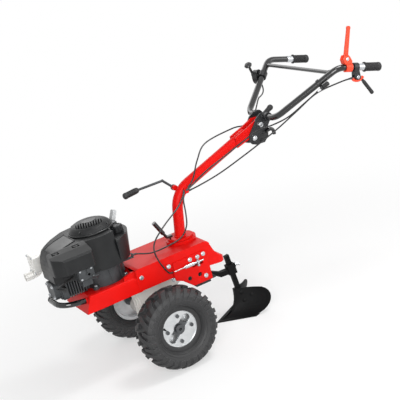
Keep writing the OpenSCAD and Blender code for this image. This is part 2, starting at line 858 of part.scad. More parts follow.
module starter_cover() {
    slot_pitch = 10;
    dome = concat(
        [[0, starter_low], [starter_r, starter_low], [starter_r, starter_low + 10]],
        bez([starter_r - 3, starter_low + 14], [starter_r - 10, dome_top - 8], [52, dome_top],
            [38, dome_top], 6),
        [[0, dome_top]]
    );
    hollow = concat(
        [[0, starter_low - 1], [starter_r - 4, starter_low - 1], [starter_r - 4, starter_low + 9]],
        bez([starter_r - 7, starter_low + 11], [starter_r - 14, dome_top - 12], [50, dome_top - 4],
            [36, dome_top - 4], 6),
        [[0, dome_top - 4]]
    );
    color(black) on_deck() translate([crank_x, 0, 0]) difference() {
        rotate_extrude($fn = 96) polygon(dome);
        rotate_extrude($fn = 96) polygon(hollow);
        for (i = [0:slot_count - 1]) {
            x = slot_pitch * (i - (slot_count - 1) / 2);
            reach = sqrt(pow(starter_r - 20, 2) - x * x);
            rotate(-20) translate([x - 2, -reach, starter_low + 12]) cube([4, reach - 12, 60]);
        }
    }
}

module starter_grip() {
    color(cast_grey) on_deck() translate([guide_at[0], guide_at[1], grip_low]) {
        cylinder(r = 9, h = 10);
        translate([0, 0, 8]) rotate([0, 26, 0]) along_x(-7.5, 7.5) round_rect([-13, 0], [13, 42], 6);
    }
}

grip_low = guide_top + seat_gap;

module starter_rope() {
    color(black) on_deck() translate([guide_at[0], guide_at[1], guide_low + 2])
        cylinder(r = 2.5, h = grip_low - guide_low - 2);
}

tank_top = 180;

module tank_form(inset) {
    low = blower_low + inset;
    intersection() {
        difference() {
            translate([crank_x, 0, low]) cylinder(r1 = blower_r - inset, r2 = blower_r + 26 - inset,
                h = 200, $fn = 96);
            translate([tank_cut - 300 + seat_gap + inset, -200, 0]) cube([300, 400, 400]);
        }
        along_x(tank_cut - 10, 10) round_rect([-124 + inset, low], [120 - inset, tank_top - inset], 14);
    }
}

cap_at = [-63, -48];
cap_h = 26;

module fuel_tank() {
    color(black) on_deck() difference() {
        union() {
            tank_form(0);
            translate([cap_at[0], cap_at[1], tank_top - 6]) cylinder(r = cap_r - 5, h = 14);
        }
        tank_form(3);
        translate([cap_at[0], cap_at[1], tank_top - 12]) cylinder(r = cap_r - 9, h = 30);
    }
}

module fuel_cap() {
    low = tank_top + seat_gap + 1;
    color(black) on_deck() translate([cap_at[0], cap_at[1], low]) difference() {
        union() {
            cylinder(r = cap_r, h = cap_h);
            for (i = [0:11]) rotate(30 * i) translate([cap_r - 2, -2.5, 0]) cube([4, 5, cap_h - 3]);
        }
        translate([0, 0, -1]) cylinder(r = cap_r - 4.6, h = 11);
    }
}

module carburettor() {
    color(dark_grey) on_deck() {
        translate([-300, 0, 0]) along_x(0, 62) round_rect([-176, 88], [-130, filter_low - seat_gap], 8);
        rod([-270, -104.6, 112], [-270, -131, 112], 15);
        translate([-292, -168, 66]) cube([40, 32, 23]);
    }
}

filter_low = 142;

module filter_form(inset) {
    low = filter_low;
    intersection() {
        translate([0, 0, low - 1]) linear_extrude(140) polygon(concat(
            arc([-242 - inset, -186 + inset], 14, 0, -90, 5),
            arc([-338 - inset, -178 + inset], 22, -90, -125, 3),
            arc([-366 + inset, -158 + inset], 20, -125, -180, 3),
            [[-386 + inset, -126 - inset], [-376 + inset, -112 - inset], [-228 - inset, -112 - inset]]
        ));
        along_x(-400, -200) polygon(concat(
            [[-100, low + inset], [-200 + inset, low + inset]],
            [[-200 + inset, low + 54 - inset], [-194 + inset, low + 61 - inset]],
            [[-150, low + 74 - inset], [-118, low + 80 - inset], [-100, low + 80 - inset]]
        ));
    }
}

module air_filter_cover() {
    color(black) on_deck() difference() {
        filter_form(0);
        filter_form(3);
        for (x = [-352, -268]) translate([x, -134, filter_low + 70]) cylinder(r = 9, h = 30);
        for (x = [-352, -268]) translate([x - 14, -143, filter_low + 70]) cube([28, 18, 30]);
    }
}

module muffler() {
    color(zinc) on_deck() {
        difference() {
            union() {
                translate([-382, 0, 0]) along_x(0, 78) round_rect([100, 88], [168, 164], 12);
                rod([port_x, 84 + seat_gap, port_z], [port_x, 118, port_z], 11);
                rod([port_x, 118, port_z], [port_x, 118, 92], 11);
                translate([port_x, 118, port_z]) sphere(11.4);
            }
            for (i = [0:2], k = [0:3]) translate([-384, 116 + 18 * i, 100 + 17 * k])
                rotate([0, 90, 0]) cylinder(r = 4.5, h = 7);
        }
        bent_bar([[-352, 150, 99], [-352, 150, 78], [-392, 150, 78]], 14, 18);
        difference() {
            rod([-384, 150, 78], [-416, 150, 78], 16.5);
            rod([-394, 150, 78], [-420, 150, 78], 13);
        }
    }
}

// Belt drive and clutch

// Outline that wraps both pulleys, grown by extra
function belt_loop(extra) =
    let (
        span = input_x - crank_x,
        big = driven_pulley_r + extra,
        small = drive_pulley_r + extra,
        lean = asin((big - small) / span)
    )
    concat(
        arc([crank_x, 0], small, 90 + lean, 270 - lean, 20),
        arc([input_x, 0], big, -90 - lean, 90 + lean, 24)
    );

module drive_belt() {
    color(black) on_deck() translate([0, 0, belt_low + 2]) linear_extrude(belt_h - 4) difference() {
        polygon(belt_loop(belt_t));
        polygon(belt_loop(seat_gap));
    }
}

module pulley(r, bore_shaft) {
    cylinder(r = r, h = belt_h);
    cylinder(r = r + 6, h = 1.6);
    translate([0, 0, belt_h - 1.6]) cylinder(r = r + 6, h = 1.6);
    translate([0, 0, -6]) cylinder(r = bore_shaft + 8, h = belt_h + 6);
}

module drive_pulley() {
    color(cast_grey) on_deck() translate([crank_x, 0, 0]) {
        translate([0, 0, belt_low]) pulley(drive_pulley_r, crank_r);
        translate([0, 0, belt_low - 4]) cylinder(r = crank_r, h = case_top - belt_low + 30);
        translate([0, 0, blower_low + 14]) cylinder(r = 40, h = 6);
    }
}

module driven_pulley() {
    color(cast_grey) on_deck() translate([input_x, 0, 0]) {
        translate([0, 0, belt_low]) pulley(driven_pulley_r, input_r);
        translate([0, 0, -114]) cylinder(r = input_r, h = 114 + belt_low);
    }
}

module idler_arm() {
    reach = norm(idler_at - idler_pivot);
    lead = atan2(idler_at[1] - idler_pivot[1], idler_at[0] - idler_pivot[0]);
    low = floor_top + run_gap;
    color(zinc) on_deck() {
        translate([idler_pivot[0], idler_pivot[1], 0]) {
            translate([0, 0, low]) cylinder(r = 13, h = arm_t);
            translate([0, 0, floor_low - 4]) cylinder(r = 6, h = low - floor_low + 8);
            difference() {
                union() {
                    rotate(lead) translate([8, -5, low]) cube([reach - 14, 10, arm_t]);
                    rotate(lead) translate([reach, 0, low]) cylinder(r = 9, h = arm_t);
                }
                rotate(lead) translate([reach, 0, low - 1]) cylinder(r = 5 + pin_gap, h = arm_t + 2);
            }
            translate([-5, rod_y - idler_pivot[1], low]) cube([10, idler_pivot[1] - rod_y - 8, arm_t]);
            translate([0, rod_y - idler_pivot[1], low]) cylinder(r = 6, h = arm_t);
            translate([0, rod_y - idler_pivot[1], low]) cylinder(r = 4, h = rod_z - low + 9);
        }
    }
}

module idler_pulley() {
    low = floor_top + run_gap;
    color(dark_grey) on_deck() translate([idler_at[0], idler_at[1], 0]) {
        translate([0, 0, belt_low + 1]) cylinder(r = idler_r, h = belt_h - 2);
        translate([0, 0, low + 0.2]) cylinder(r = 5, h = belt_low - low + 4);
    }
}

module clutch_rod() {
    eye_x = idler_pivot[0];
    color(zinc) on_deck() translate([0, rod_y, rod_z]) difference() {
        union() {
            rotate([0, 90, 0]) {
                translate([0, 0, 90]) cylinder(r = 2, h = 50);
                translate([0, 0, 138]) cylinder(r = 7, h = 42);
                translate([0, 0, 134]) cylinder(r = 4.5, h = 10);
                translate([0, 0, 178]) cylinder(r = 4, h = 14);
                translate([0, 0, eye_x + 6]) cylinder(r = 3, h = 20);
            }
            translate([eye_x, 0, -5]) cylinder(r = 7.4, h = 10);
        }
        translate([eye_x, 0, -6]) cylinder(r = 4.6, h = 12);
    }
}

// Swivel, column and handlebar

module swivel_base() {
    low = hood_rise + seat_gap;
    color(red) on_deck() translate([swivel_x, 0, 0]) difference() {
        union() {
            translate([0, 0, floor_top]) cylinder(r = 26, h = low - floor_top + 1);
            translate([0, 0, low]) cylinder(r = swivel_r, h = swivel_t);
        }
        translate([0, 0, floor_top + 10]) cylinder(r = spigot_r + pin_gap, h = 200);
        for (i = [-3:3]) rotate(180 + 15 * i) translate([lock_pcr, 0, low - 1])
            cylinder(r = 4.3, h = swivel_t + 2);
    }
}

module column_tube() {
    foot_z = floor_top + 12;
    fork = [
        [540, 310], [596, 326], [646, 346], [684, 362], [678, 394], [652, 396], [604, 376], [540, 354]
    ];
    color(red) on_deck() difference() {
        union() {
            bent_pipe([column_foot, column_bend, column_head], column_r, column_wall, column_bend_r, 32, 8);
            translate([swivel_x, 0, flange_low]) cylinder(r = flange_r, h = flange_t);
            translate([swivel_x, 0, foot_z]) cylinder(r = spigot_r, h = flange_low - foot_z + 1);
            for (s = [-1, 1]) along_y(s > 0 ? fork_in : -fork_out, s > 0 ? fork_out : -fork_in) polygon(fork);
            translate([262, -33, 214]) cube([16, 14, 22]);
            along_y(column_r - 3, column_r + 12) translate([248, 236]) circle(11);
        }
        y_pin(tilt_pivot[0], tilt_pivot[2], pivot_r + pin_gap, -40, 40);
        translate([swivel_x - lock_pcr, 0, flange_low - 1]) cylinder(r = 4.3, h = flange_t + 2);
        y_pin(248, 236, 6 + pin_gap, column_r - 2, column_r + 13);
    }
}

module tilt_bracket() {
    cheek = [
        [604, 346], [596, 318], [606, 304], [622, 297], [664, 294], [686, 314], [696, 356],
            [bar_x + 20, bar_z - 16],
        [bar_x + 20, bar_z + 8], [bar_x + 10, bar_z + 19], [672, bar_z + 19], [650, 402], [638, 386],
            [626, 372]
    ];
    color(black) on_deck() difference() {
        union() {
            for (s = [-1, 1]) {
                along_y(s > 0 ? cheek_in : -cheek_out, s > 0 ? cheek_out : -cheek_in) polygon(cheek);
                mirror([0, s > 0 ? 0 : 1, 0]) y_pin(bar_x, bar_z, bar_r + 5, cheek_out - 1,
                    cheek_out + socket_len);
            }
            along_y(-cheek_out, cheek_out) polygon([[632, 296], [664, 294], [670, 300], [640, 303]]);
            along_y(-cheek_out - 8, -cheek_out + 1) polygon([
                [684, 344], [704, 346], [716, 334], [718, 316], [708, 316], [706, 328], [700, 334], [684, 332]
            ]);
        }
        y_pin(tilt_pivot[0], tilt_pivot[2], pivot_r + pin_gap, -40, 40);
        for (s = [0, 1]) mirror([0, s, 0])
            y_pin(bar_x, bar_z, bar_r + seat_gap / 2, cheek_out + seat_gap / 2, cheek_out + socket_len + 1);
    }
}

module pivot_bolt() {
    seat = cheek_out + 0.2;
    color(chrome) on_deck() translate([tilt_pivot[0], 0, tilt_pivot[2]]) {
        along_y(-seat - 8, seat + 8) circle(pivot_r);
        along_y(-seat - 8, -seat) circle(11, $fn = 6);
        along_y(seat, seat + 8) circle(11, $fn = 6);
    }
}

module tilt_lock_lever() {
    tip = [79, 0, 43];
    color(black) on_deck() translate(tilt_pivot) difference() {
        union() {
            y_pin(0, 0, 15, -fork_in + 1.5, fork_in - 1.5);
            rod([10, 0, 6], tip, 8);
            translate(tip) sphere(10.5);
        }
        y_pin(0, 0, pivot_r + pin_gap, -fork_in, fork_in);
    }
}

module swivel_lock_lever() {
    pin_x = swivel_x - lock_pcr;
    low = flange_low + flange_t + run_gap + lock_throw;
    color(zinc) on_deck() {
        translate([pin_x, 0, flange_low + 1]) cylinder(r = 4, h = low - flange_low + 2);
        translate([pin_x - 16, -9, low]) cube([25, 18, 9]);
        rod([pin_x - 14, 0, low + 5], [pin_x - 52, 0, low + 82], 6);
        rod([pin_x - 24, 0, low + 25], [pin_x - 52, 0, low + 82], 9);
    }
}

module gear_lever() {
    hub = [248, column_r + 12 + run_gap, 236];
    elbow_at = [212, 48, 276];
    color(dark_grey) on_deck() {
        along_y(hub[1], hub[1] + 8) translate([hub[0], hub[2]]) circle(12);
        y_pin(hub[0], hub[2], 6, column_r - 1, hub[1] + 4);
        rod([hub[0] - 4, hub[1] + 5, hub[2] + 4], elbow_at, 5);
        translate(elbow_at) sphere(6);
        rod(elbow_at, [96, 48, 277.5], 5);
        turned([100, 48, 278], [36, 48, 272], [
            [0, 0], [8, 0], [10, 3], [11.5, 12], [11, 50], [12.5, 56], [11, 62], [6, 66], [0, 66]
        ]);
    }
}

module handle_tube(side) {
    pts = [for (p = [bar_start, bar_knee, bar_elbow, bar_end]) [p[0], side * p[1], p[2]]];
    color(black) on_deck() bent_pipe(pts, bar_r, bar_wall, bar_bend_r, 24);
}

module left_handle_tube() {
    handle_tube(-1);
}

module right_handle_tube() {
    handle_tube(1);
}

module cross_bar() {
    c = bar_knee + cross_share * bar_rise;
    color(black) on_deck() difference() {
        y_pin(c[0], c[2], cross_r, -c[1], c[1]);
        for (s = [-1, 1]) rod(
            [bar_knee[0], s * bar_knee[1], bar_knee[2]], [bar_elbow[0], s * bar_elbow[1], bar_elbow[2]],
            bar_r + seat_gap
        );
    }
}

// Places a shape drawn along Z on a grip's axis, with the tube's end at zero
module at_grip(side) {
    on_deck() translate([bar_end[0], side * bar_end[1], bar_end[2]]) rotate([0, bar_slope, 0]) children();
}

module grip(side) {
    pitch = (grip_len - 18) / grip_ribs;
    ribs = [
        for (i = [0:grip_ribs - 1], k = [0:3])
            let (z = 8 - grip_len + pitch * (i + [0, 0.25, 0.5, 0.75][k]))
            [grip_r + [0, 0, -1.2, -1.2][k], z]
    ];
    profile = concat(
        [[0, -grip_len], [grip_r + 2, -grip_len], [grip_r + 2, 5 - grip_len]],
        ribs,
        [[grip_r, -8], [grip_r - 1, 2], [grip_r - 6, 7], [0, 8]]
    );
    color(rubber) at_grip(side) difference() {
        rotate_extrude() polygon(profile);
        translate([0, 0, -grip_len - 1]) cylinder(r = bar_r + seat_gap / 2, h = grip_len + 1 + seat_gap);
    }
}

module left_grip() {
    grip(-1);
}

module right_grip() {
    grip(1);
}

reverse_pivot = [973, 567];

module lever_bracket() {
    color(red) {
        at_grip(-1) difference() {
            translate([0, 0, -bar_run_len + 32]) cylinder(r = bar_r + 6, h = 28);
            translate([0, 0, -bar_run_len + 31]) cylinder(r = bar_r + seat_gap / 2, h = 30);
        }
        on_deck() difference() {
            along_y(-bar_half - 15, -bar_half + 15) polygon([
                [958, 549], [990, 543], [993, 554], [987, 572], [981, 582], [965, 582], [956, 568]
            ]);
            y_pin(reverse_pivot[0], reverse_pivot[1], 14, -bar_half - 7, -bar_half + 7);
            along_y(-bar_half - 7, -bar_half + 7) translate([950, reverse_pivot[1]]) square([60, 30]);
            y_pin(reverse_pivot[0], reverse_pivot[1], 4 + pin_gap, -bar_half - 16, -bar_half + 16);
            rod(
                [bar_elbow[0], -bar_half, bar_elbow[2]], [bar_end[0], -bar_half, bar_end[2]], bar_r + 3
            );
        }
    }
}

module reverse_lever() {
    tip = [1015, 681];
    along = unit(tip - reverse_pivot);
    side = [-along[1], along[0]];
    color(red) on_deck() {
        y_pin(reverse_pivot[0], reverse_pivot[1], 4, -bar_half - 14, -bar_half + 14);
        y_pin(reverse_pivot[0], reverse_pivot[1], 12, -bar_half - 6, -bar_half + 6);
        along_y(-bar_half - 4.5, -bar_half + 4.5) {
            polygon([reverse_pivot + 9 * side, reverse_pivot - 9 * side, tip - 6.5 * side, tip + 6.5 * side]);
            translate(tip) circle(8);
        }
    }
}

clutch_pivot = [1006, 482];

module clutch_bracket() {
    color(black) {
        at_grip(-1) difference() {
            translate([0, 0, -bar_run_len + 70]) cylinder(r = bar_r + 5, h = 22);
            translate([0, 0, -bar_run_len + 69]) cylinder(r = bar_r + seat_gap / 2, h = 24);
        }
        on_deck() difference() {
            along_y(-bar_half - 13, -bar_half + 13) polygon([
                [998, 512], [1018, 507], [1018, 478], [1010, 470], [998, 472], [992, 484]
            ]);
            along_y(-bar_half - 7, -bar_half + 7) polygon([[985, 494], [1030, 494], [1030, 460], [985, 460]]);
            y_pin(clutch_pivot[0], clutch_pivot[1], 4 + pin_gap, -bar_half - 14, -bar_half + 14);
            rod(
                [bar_elbow[0], -bar_half, bar_elbow[2]], [bar_end[0], -bar_half, bar_end[2]], bar_r + 2
            );
        }
    }
}

module clutch_lever() {
    foot = [clutch_pivot[0], -bar_half, clutch_pivot[1]];
    knee = foot + [22, 0, -16];
    tip = [1062, -bar_half, 400];
    color(black) on_deck() {
        y_pin(foot[0], foot[2], 4, -bar_half - 12, -bar_half + 12);
        y_pin(foot[0], foot[2], 10, -bar_half - 6, -bar_half + 6);
        rod(foot, knee, 6);
        translate(knee) sphere(6.5);
        rod(knee, tip, 6);
        translate(tip) sphere(7);
    }
}

throttle_at = bar_knee + throttle_share * bar_rise;
throttle_yaw = atan2(bar_rise[1], bar_rise[0]);
throttle_tip = acos(bar_rise[2] / norm(bar_rise));
box_in = bar_r + 4;
box_out = box_in + 20;
thumb_x = -12;
drum_x = 4;
drum_r = 30;

throttle_down = [
    cos(throttle_tip) * cos(throttle_yaw), cos(throttle_tip) * sin(throttle_yaw), -sin(throttle_tip)
];
throttle_out = [-sin(throttle_yaw), cos(throttle_yaw), 0];
drum_reach = drum_x + drum_r + 8 + 5 * seat_gap;

// Places a shape in the throttle's frame, with the handle tube along Z
module at_throttle() {
    on_deck() translate(throttle_at) rotate([0, throttle_tip, throttle_yaw]) children();
}

module throttle_box() {
    color(black) at_throttle() difference() {
        union() {
            translate([0, 0, -14]) cylinder(r = bar_r + 6, h = 28);
            along_y(box_in, box_out) translate([drum_x, 0]) circle(drum_r);
            along_y(box_in + 4, box_out - 4) translate([drum_x, -7]) square([drum_r + 8, 14]);
            along_y(bar_r + 2, box_in + 1) translate([-12, -14]) square([24, 28]);
        }
        translate([0, 0, -15]) cylinder(r = bar_r + seat_gap / 2, h = 30);
        y_pin(thumb_x, 0, 5 + pin_gap, box_out - 9, box_out + 1);
    }
}

module throttle_lever() {
    seat = box_out + run_gap;
    color(black) at_throttle() {
        y_pin(thumb_x, 0, 5, box_out - 8, seat + 2);
        y_pin(thumb_x, 0, 11, seat, seat + 7);
        along_y(seat, seat + 7) translate([thumb_x - 38, -4.5]) square([38, 9]);
        turned([thumb_x - 34, seat + 3.5, 0], [thumb_x - 64, seat + 3.5, 0], [
            [0, 0], [3, 0], [3, 13], [15, 16], [17, 21], [13, 27], [0, 29]
        ]);
    }
}

// Cables

module cables(list) {
    for (route = list) cable(route, 3);
}

clutch_clip = [270, -29, 221];
throttle_clip = [270, -29, 231];

module upper_cables() {
    near = -bar_half;
    outlet = throttle_at + drum_reach * throttle_down + (box_in + box_out) / 2 * throttle_out;
    color(black) on_deck() cables([
        [[985, near, 484], [930, near + 13, 482], [840, near + 53, 462], [780, near / 2 - 5, 400],
            [714, -84, 346],
            [650, -60, 314], [560, -48, 282], [430, -38, 244], [330, -32, 226], clutch_clip + [8.8, 0, 0]],
        [outlet, outlet + 24 * throttle_down, [800, 0.72 * bar_half, 422], [726, 0.5 * bar_half, 366],
            [650, 82, 360],
            [570, 46, 376], [430, 30, 364], [360, -6, 320], [310, -34, 264], throttle_clip + [10.2, 0, 2]],
        [[848, near + 40, 474], [800, 0.7 * near, 436], [740, near / 2 - 2, 390], [690, -78, 364],
            [640, -54, 360],
            [560, -48, 336], [460, -46, 304], [380, -50, 282], [320, -50, 258], [286, -44, 238],
            throttle_clip - [4, 7.7, 3]]
    ]);
}

module lower_cables() {
    color(black) on_deck() cables([
        [clutch_clip - [10.6, 0, 0], [206, -58, 184], [114, 30 + rod_y, 150], [50, 6 + rod_y, 114],
            [30, rod_y - 4, 80], [34, rod_y - 8, 40], [48, rod_y - 6, 2], [66, rod_y, -30],
                [83.6, rod_y, rod_z]],
        [throttle_clip - [10.6, 0, 2], [244, -36, 190], [236, -44, 140], [218, -60, 96], [180, -66, 62],
            [120, -48, 44], [50, -40, 42], [-10, -48, 64], [-28, -50, 67]]
    ]);
}

// Hitch and ridger

hitch_top = bar_block_low + bar_block_h + clevis_gap;
hitch_floor = bar_block_low - clevis_gap;

module hitch_bracket() {
    color(cast_grey) on_deck() difference() {
        union() {
            translate([200, -plate_in, hitch_top]) cube([62, 2 * plate_in, 7]);
            for (s = [-1, 1]) translate([200, s > 0 ? plate_in - 6 : -plate_in, hitch_top]) cube([44, 6, 40]);
            translate([200, -44, hitch_floor - 8]) cube([68, 88, 8]);
            translate([200, -44, hitch_floor - 1]) cube([12, 88, hitch_top - hitch_floor + 2]);
        }
        translate([hitch_pin_x, 0, hitch_floor - 9]) cylinder(r = hitch_pin_r + pin_gap, h = 60);
        y_pin(220, -106, screw_hole_r, -plate_out, plate_out);
    }
}

module hitch_pin() {
    top = hitch_top + 7 + 0.2;
    color(zinc) on_deck() translate([hitch_pin_x, 0, 0]) difference() {
        union() {
            translate([0, 0, hitch_floor - 24]) cylinder(r = hitch_pin_r, h = top - hitch_floor + 25);
            translate([0, 0, top]) cylinder(r = 14, h = 6);
        }
        y_pin(0, hitch_floor - 17, 2.5, -20, 20);
    }
}

// Places a shape drawn along the shank, with the middle of its clamp at zero
module at_clamp() {
    on_deck() translate([clamp_x, 0, clamp_z]) rotate([0, -shank_lean, 0]) children();
}

module drawbar() {
    block_top = bar_block_low + bar_block_h;
    bar = [
        [288, block_top - 8], [300, block_top - 18], [334, -167], [371, -168],
        [371, -190], [330, -188], [288, bar_block_low + 2]
    ];
    sleeve_x = shank_l / 2 + clamp_wall + seat_gap;
    sleeve_y = shank_w / 2 + clamp_wall + seat_gap;
    color(soil_black) difference() {
        union() {
            on_deck() {
                translate([230, -16, bar_block_low]) cube([60, 32, bar_block_h]);
                along_y(-drawbar_w / 2, drawbar_w / 2) polygon(bar);
            }
            at_clamp() {
                translate([-sleeve_x, -sleeve_y, -clamp_len / 2])
                    cube([2 * sleeve_x, 2 * sleeve_y, clamp_len]);
                translate([sleeve_x - 1, 0, 6]) rotate([0, 90, 0]) cylinder(r = 9, h = 7);
            }
        }
        at_clamp() {
            translate([-shank_l / 2 - seat_gap, -shank_w / 2 - seat_gap, -clamp_len])
                cube([shank_l + 2 * seat_gap, shank_w + 2 * seat_gap, 2 * clamp_len]);
            translate([0, 0, 6]) rotate([0, 90, 0]) cylinder(r = 5 + pin_gap, h = 60);
        }
        on_deck() translate([hitch_pin_x, 0, bar_block_low - 1]) cylinder(r = hitch_pin_r + pin_gap, h = 40);
    }
}

module clamp_bolt() {
    tip_x0 = shank_l / 2 + seat_gap;
    color(chrome) at_clamp() translate([0, 0, 6]) {
        rotate([0, 90, 0]) translate([0, 0, tip_x0]) cylinder(r = 5, h = 28);
        rod([tip_x0 + 26, -18, 0], [tip_x0 + 26, 18, 0], 3.2);
        for (s = [-1, 1]) translate([tip_x0 + 26, s * 18, 0]) sphere(4.5);
        rotate([0, 90, 0]) translate([0, 0, tip_x0 + 20]) cylinder(r = 7, h = 9);
    }
}

shank_low = -deck_z - clamp_z + 34;
shank_top = 64;
nose_start = tip_x + 16;
nose_end = 345;

module shank() {
    frog = concat(
        [for (p = shin) if (p[0] > nose_end + 2) [p[0], p[2]]],
        [[398, wing_h], [408, 40], [380, 34]]
    );
    color(soil_black) {
        at_clamp() difference() {
            translate([-shank_l / 2, -shank_w / 2, shank_low])
                cube([shank_l, shank_w, shank_top - shank_low]);
            for (i = [0:3]) y_pin(0, shank_top - 10 - 14 * i, 3.2, -20, 20);
            y_pin(0, -44, 3.2, -20, 20);
        }
        on_ground() along_y(-shank_w / 2, shank_w / 2) polygon(frog);
    }
}

shin = bez([nose_start, 0, share_t + seat_gap], [352, 0, 18], [372, 0, 44], [374, 0, wing_h], 10);
wing_back = bez(
    [400, wing_half - 18, share_t + seat_gap], [474, wing_half + 3, 10], [510, wing_half + 4, 82],
    [466, wing_half - 40, wing_h - 12], 10
);

// How far the nose has widened to the shank's width at x
function share_of(x) = min(1, max(0, (x - nose_start) / (nose_end - nose_start)));

// A dished plate from the shin to the wing's back edge
module wing(side) {
    rows = len(shin);
    cols = 9;
    dish = 9;
    edge = [for (p = shin) side_gap + (shank_w / 2 + seat_gap - side_gap) * share_of(p[0])];
    front = [
        for (i = [0:rows - 1], j = [0:cols - 1])
            let (u = j / (cols - 1), p = (1 - u) * (shin[i] + [0, edge[i], 0]) + u * wing_back[i])
            p + 4 * u * (1 - u) * dish * [0.5, -0.8, 0]
    ];
    back = [
        for (i = [0:rows - 1], j = [0:cols - 1])
            let (p = front[i * cols + j] + [wing_t * 0.9, -wing_t * 0.35, 0])
            [p[0], max(p[1], edge[i]), p[2]]
    ];
    pts = concat(front, back);
    n = rows * cols;
    sheet = [
        for (i = [0:rows - 2], j = [0:cols - 2])
            [i * cols + j, i * cols + j + 1, (i + 1) * cols + j + 1, (i + 1) * cols + j]
    ];
    under = [for (f = sheet) [for (k = [3:-1:0]) f[k] + n]];
    rim_low = [for (j = [0:cols - 2]) [j + 1, j, j + n, j + 1 + n]];
    rim_top = [for (j = [0:cols - 2]) let (a = (rows - 1) * cols + j) [a, a + 1, a + 1 + n, a + n]];
    rim_front = [for (i = [0:rows - 2]) let (a = i * cols) [a, a + cols, a + cols + n, a + n]];
    rim_back = [for (i = [0:rows - 2]) let (a = i * cols + cols - 1) [a + cols, a, a + n, a + cols + n]];
    mirror([0, side < 0 ? 1 : 0, 0])
        polyhedron(points = pts, faces = concat(sheet, under, rim_low, rim_top, rim_front, rim_back),
            convexity = 6);
}

side_gap = seat_gap / 2;

module left_wing() {
    color(soil_black) on_ground() wing(-1);
}

module right_wing() {
    color(soil_black) on_ground() wing(1);
}

module share_point() {
    back_x = 402;
    color(soil_black) on_ground() linear_extrude(share_t) polygon([
        [tip_x, 0], [back_x, wing_half - 14], [back_x + 22, wing_half - 24], [340, 0],
        [back_x + 22, -wing_half + 24], [back_x, -wing_half + 14]
    ]);
}

main_frame();
belt_hood();
left_side_plate();
right_side_plate();
gearbox_case();
front_bumper();
swivel_base();
hitch_bracket();
frame_screws();
engine_crankcase();
cylinder_block();
spark_plug();
blower_housing();
starter_cover();
fuel_tank();
carburettor();
air_filter_cover();
muffler();
drive_belt();
lower_cables();
drive_pulley();
driven_pulley();
idler_arm();
idler_pulley();
clutch_rod();
fuel_cap();
starter_grip();
starter_rope();
axle_shaft();
axle_gear();
left_rim();
right_rim();
left_tyre();
right_tyre();
wheel_bolts();
column_tube();
pivot_bolt();
tilt_lock_lever();
swivel_lock_lever();
gear_lever();
upper_cables();
tilt_bracket();
left_handle_tube();
right_handle_tube();
cross_bar();
left_grip();
right_grip();
lever_bracket();
clutch_bracket();
clutch_lever();
reverse_lever();
throttle_box();
throttle_lever();
drawbar();
hitch_pin();
shank();
clamp_bolt();
left_wing();
right_wing();
share_point();
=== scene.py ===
"""Studio picture of a walk-behind two-wheel tractor that pulls a ridger.

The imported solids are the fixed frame. Each class below dresses one sub-assembly: it gives
the solids their finishes and adds the pieces that they leave out, such as cable sheaths,
bolt heads, weld beads and trim. Lengths are millimetres from the ground under the axle, as in
the part's source, unless a docstring says metres; to_row() turns them into the row frame's metres.
"""

import logging
import math
from dataclasses import dataclass, field
from enum import Enum
from functools import cache

import bmesh
import bpy
from mathutils import Matrix, Vector
from mathutils.bvhtree import BVHTree


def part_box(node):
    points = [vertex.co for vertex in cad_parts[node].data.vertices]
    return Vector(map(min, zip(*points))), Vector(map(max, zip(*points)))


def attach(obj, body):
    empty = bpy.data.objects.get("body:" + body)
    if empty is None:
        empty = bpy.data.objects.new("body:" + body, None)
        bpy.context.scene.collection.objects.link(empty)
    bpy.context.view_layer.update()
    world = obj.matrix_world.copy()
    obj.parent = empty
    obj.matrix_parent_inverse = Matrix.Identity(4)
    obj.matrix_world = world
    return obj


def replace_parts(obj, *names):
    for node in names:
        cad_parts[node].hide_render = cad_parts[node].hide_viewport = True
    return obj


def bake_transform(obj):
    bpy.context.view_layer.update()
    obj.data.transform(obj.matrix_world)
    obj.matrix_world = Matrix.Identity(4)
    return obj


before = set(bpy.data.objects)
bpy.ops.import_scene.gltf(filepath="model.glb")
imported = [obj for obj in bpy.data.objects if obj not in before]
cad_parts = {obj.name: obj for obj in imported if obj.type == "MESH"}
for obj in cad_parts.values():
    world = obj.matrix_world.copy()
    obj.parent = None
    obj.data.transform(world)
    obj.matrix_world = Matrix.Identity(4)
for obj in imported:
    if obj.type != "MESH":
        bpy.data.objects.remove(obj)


LOG = logging.getLogger("ridger")
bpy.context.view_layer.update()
MM = 0.001
# Height of the engine's deck over the ground.
DECK = 376.0
# The row's origin lies this far behind the axle.
MIDDLE = 355.96
# Width of the camera's sensor, and of the picture that the camera is fitted to.
SENSOR_MM = 36.0
PICTURE_PX = 400.0
# Noise values between which patches of shade come up, and between which the roughness runs.
SHADE_SPAN = (0.42, 0.72)
GLOSS_SPAN = (0.3, 0.7)
# Cosines of an edge's turn at which the edge colour starts to show and at which it shows in full. That colour
# is partly rubbed paint and partly a painted highlight along edges.
EDGE_WEAR_AND_HIGHLIGHT_SPAN = (0.98, 0.82)
Point = tuple[float, float, float]


def to_row(place: Point | Vector) -> Vector:
    """Turns a place in millimetres from the axle into metres in the row frame."""
    return Vector((place[0] - MIDDLE, place[1], place[2])) * MM


def from_axle(place: Vector) -> Vector:
    """Turns a place in metres in the row frame into millimetres from the axle."""
    return place / MM + Vector((MIDDLE, 0.0, 0.0))


def linear(hex_colour: str) -> tuple[float, float, float, float]:
    """Turns an sRGB hex colour into linear RGBA.

    Args:
        hex_colour: Six hex digits after a hash sign.

    Returns:
        Linear red, green, blue and an alpha of one.
    """
    parts = [int(hex_colour[i:i + 2], 16) / 255 for i in (1, 3, 5)]
    rgb = [c / 12.92 if c <= 0.04045 else ((c + 0.055) / 1.055) ** 2.4 for c in parts]
    return (*rgb, 1.0)


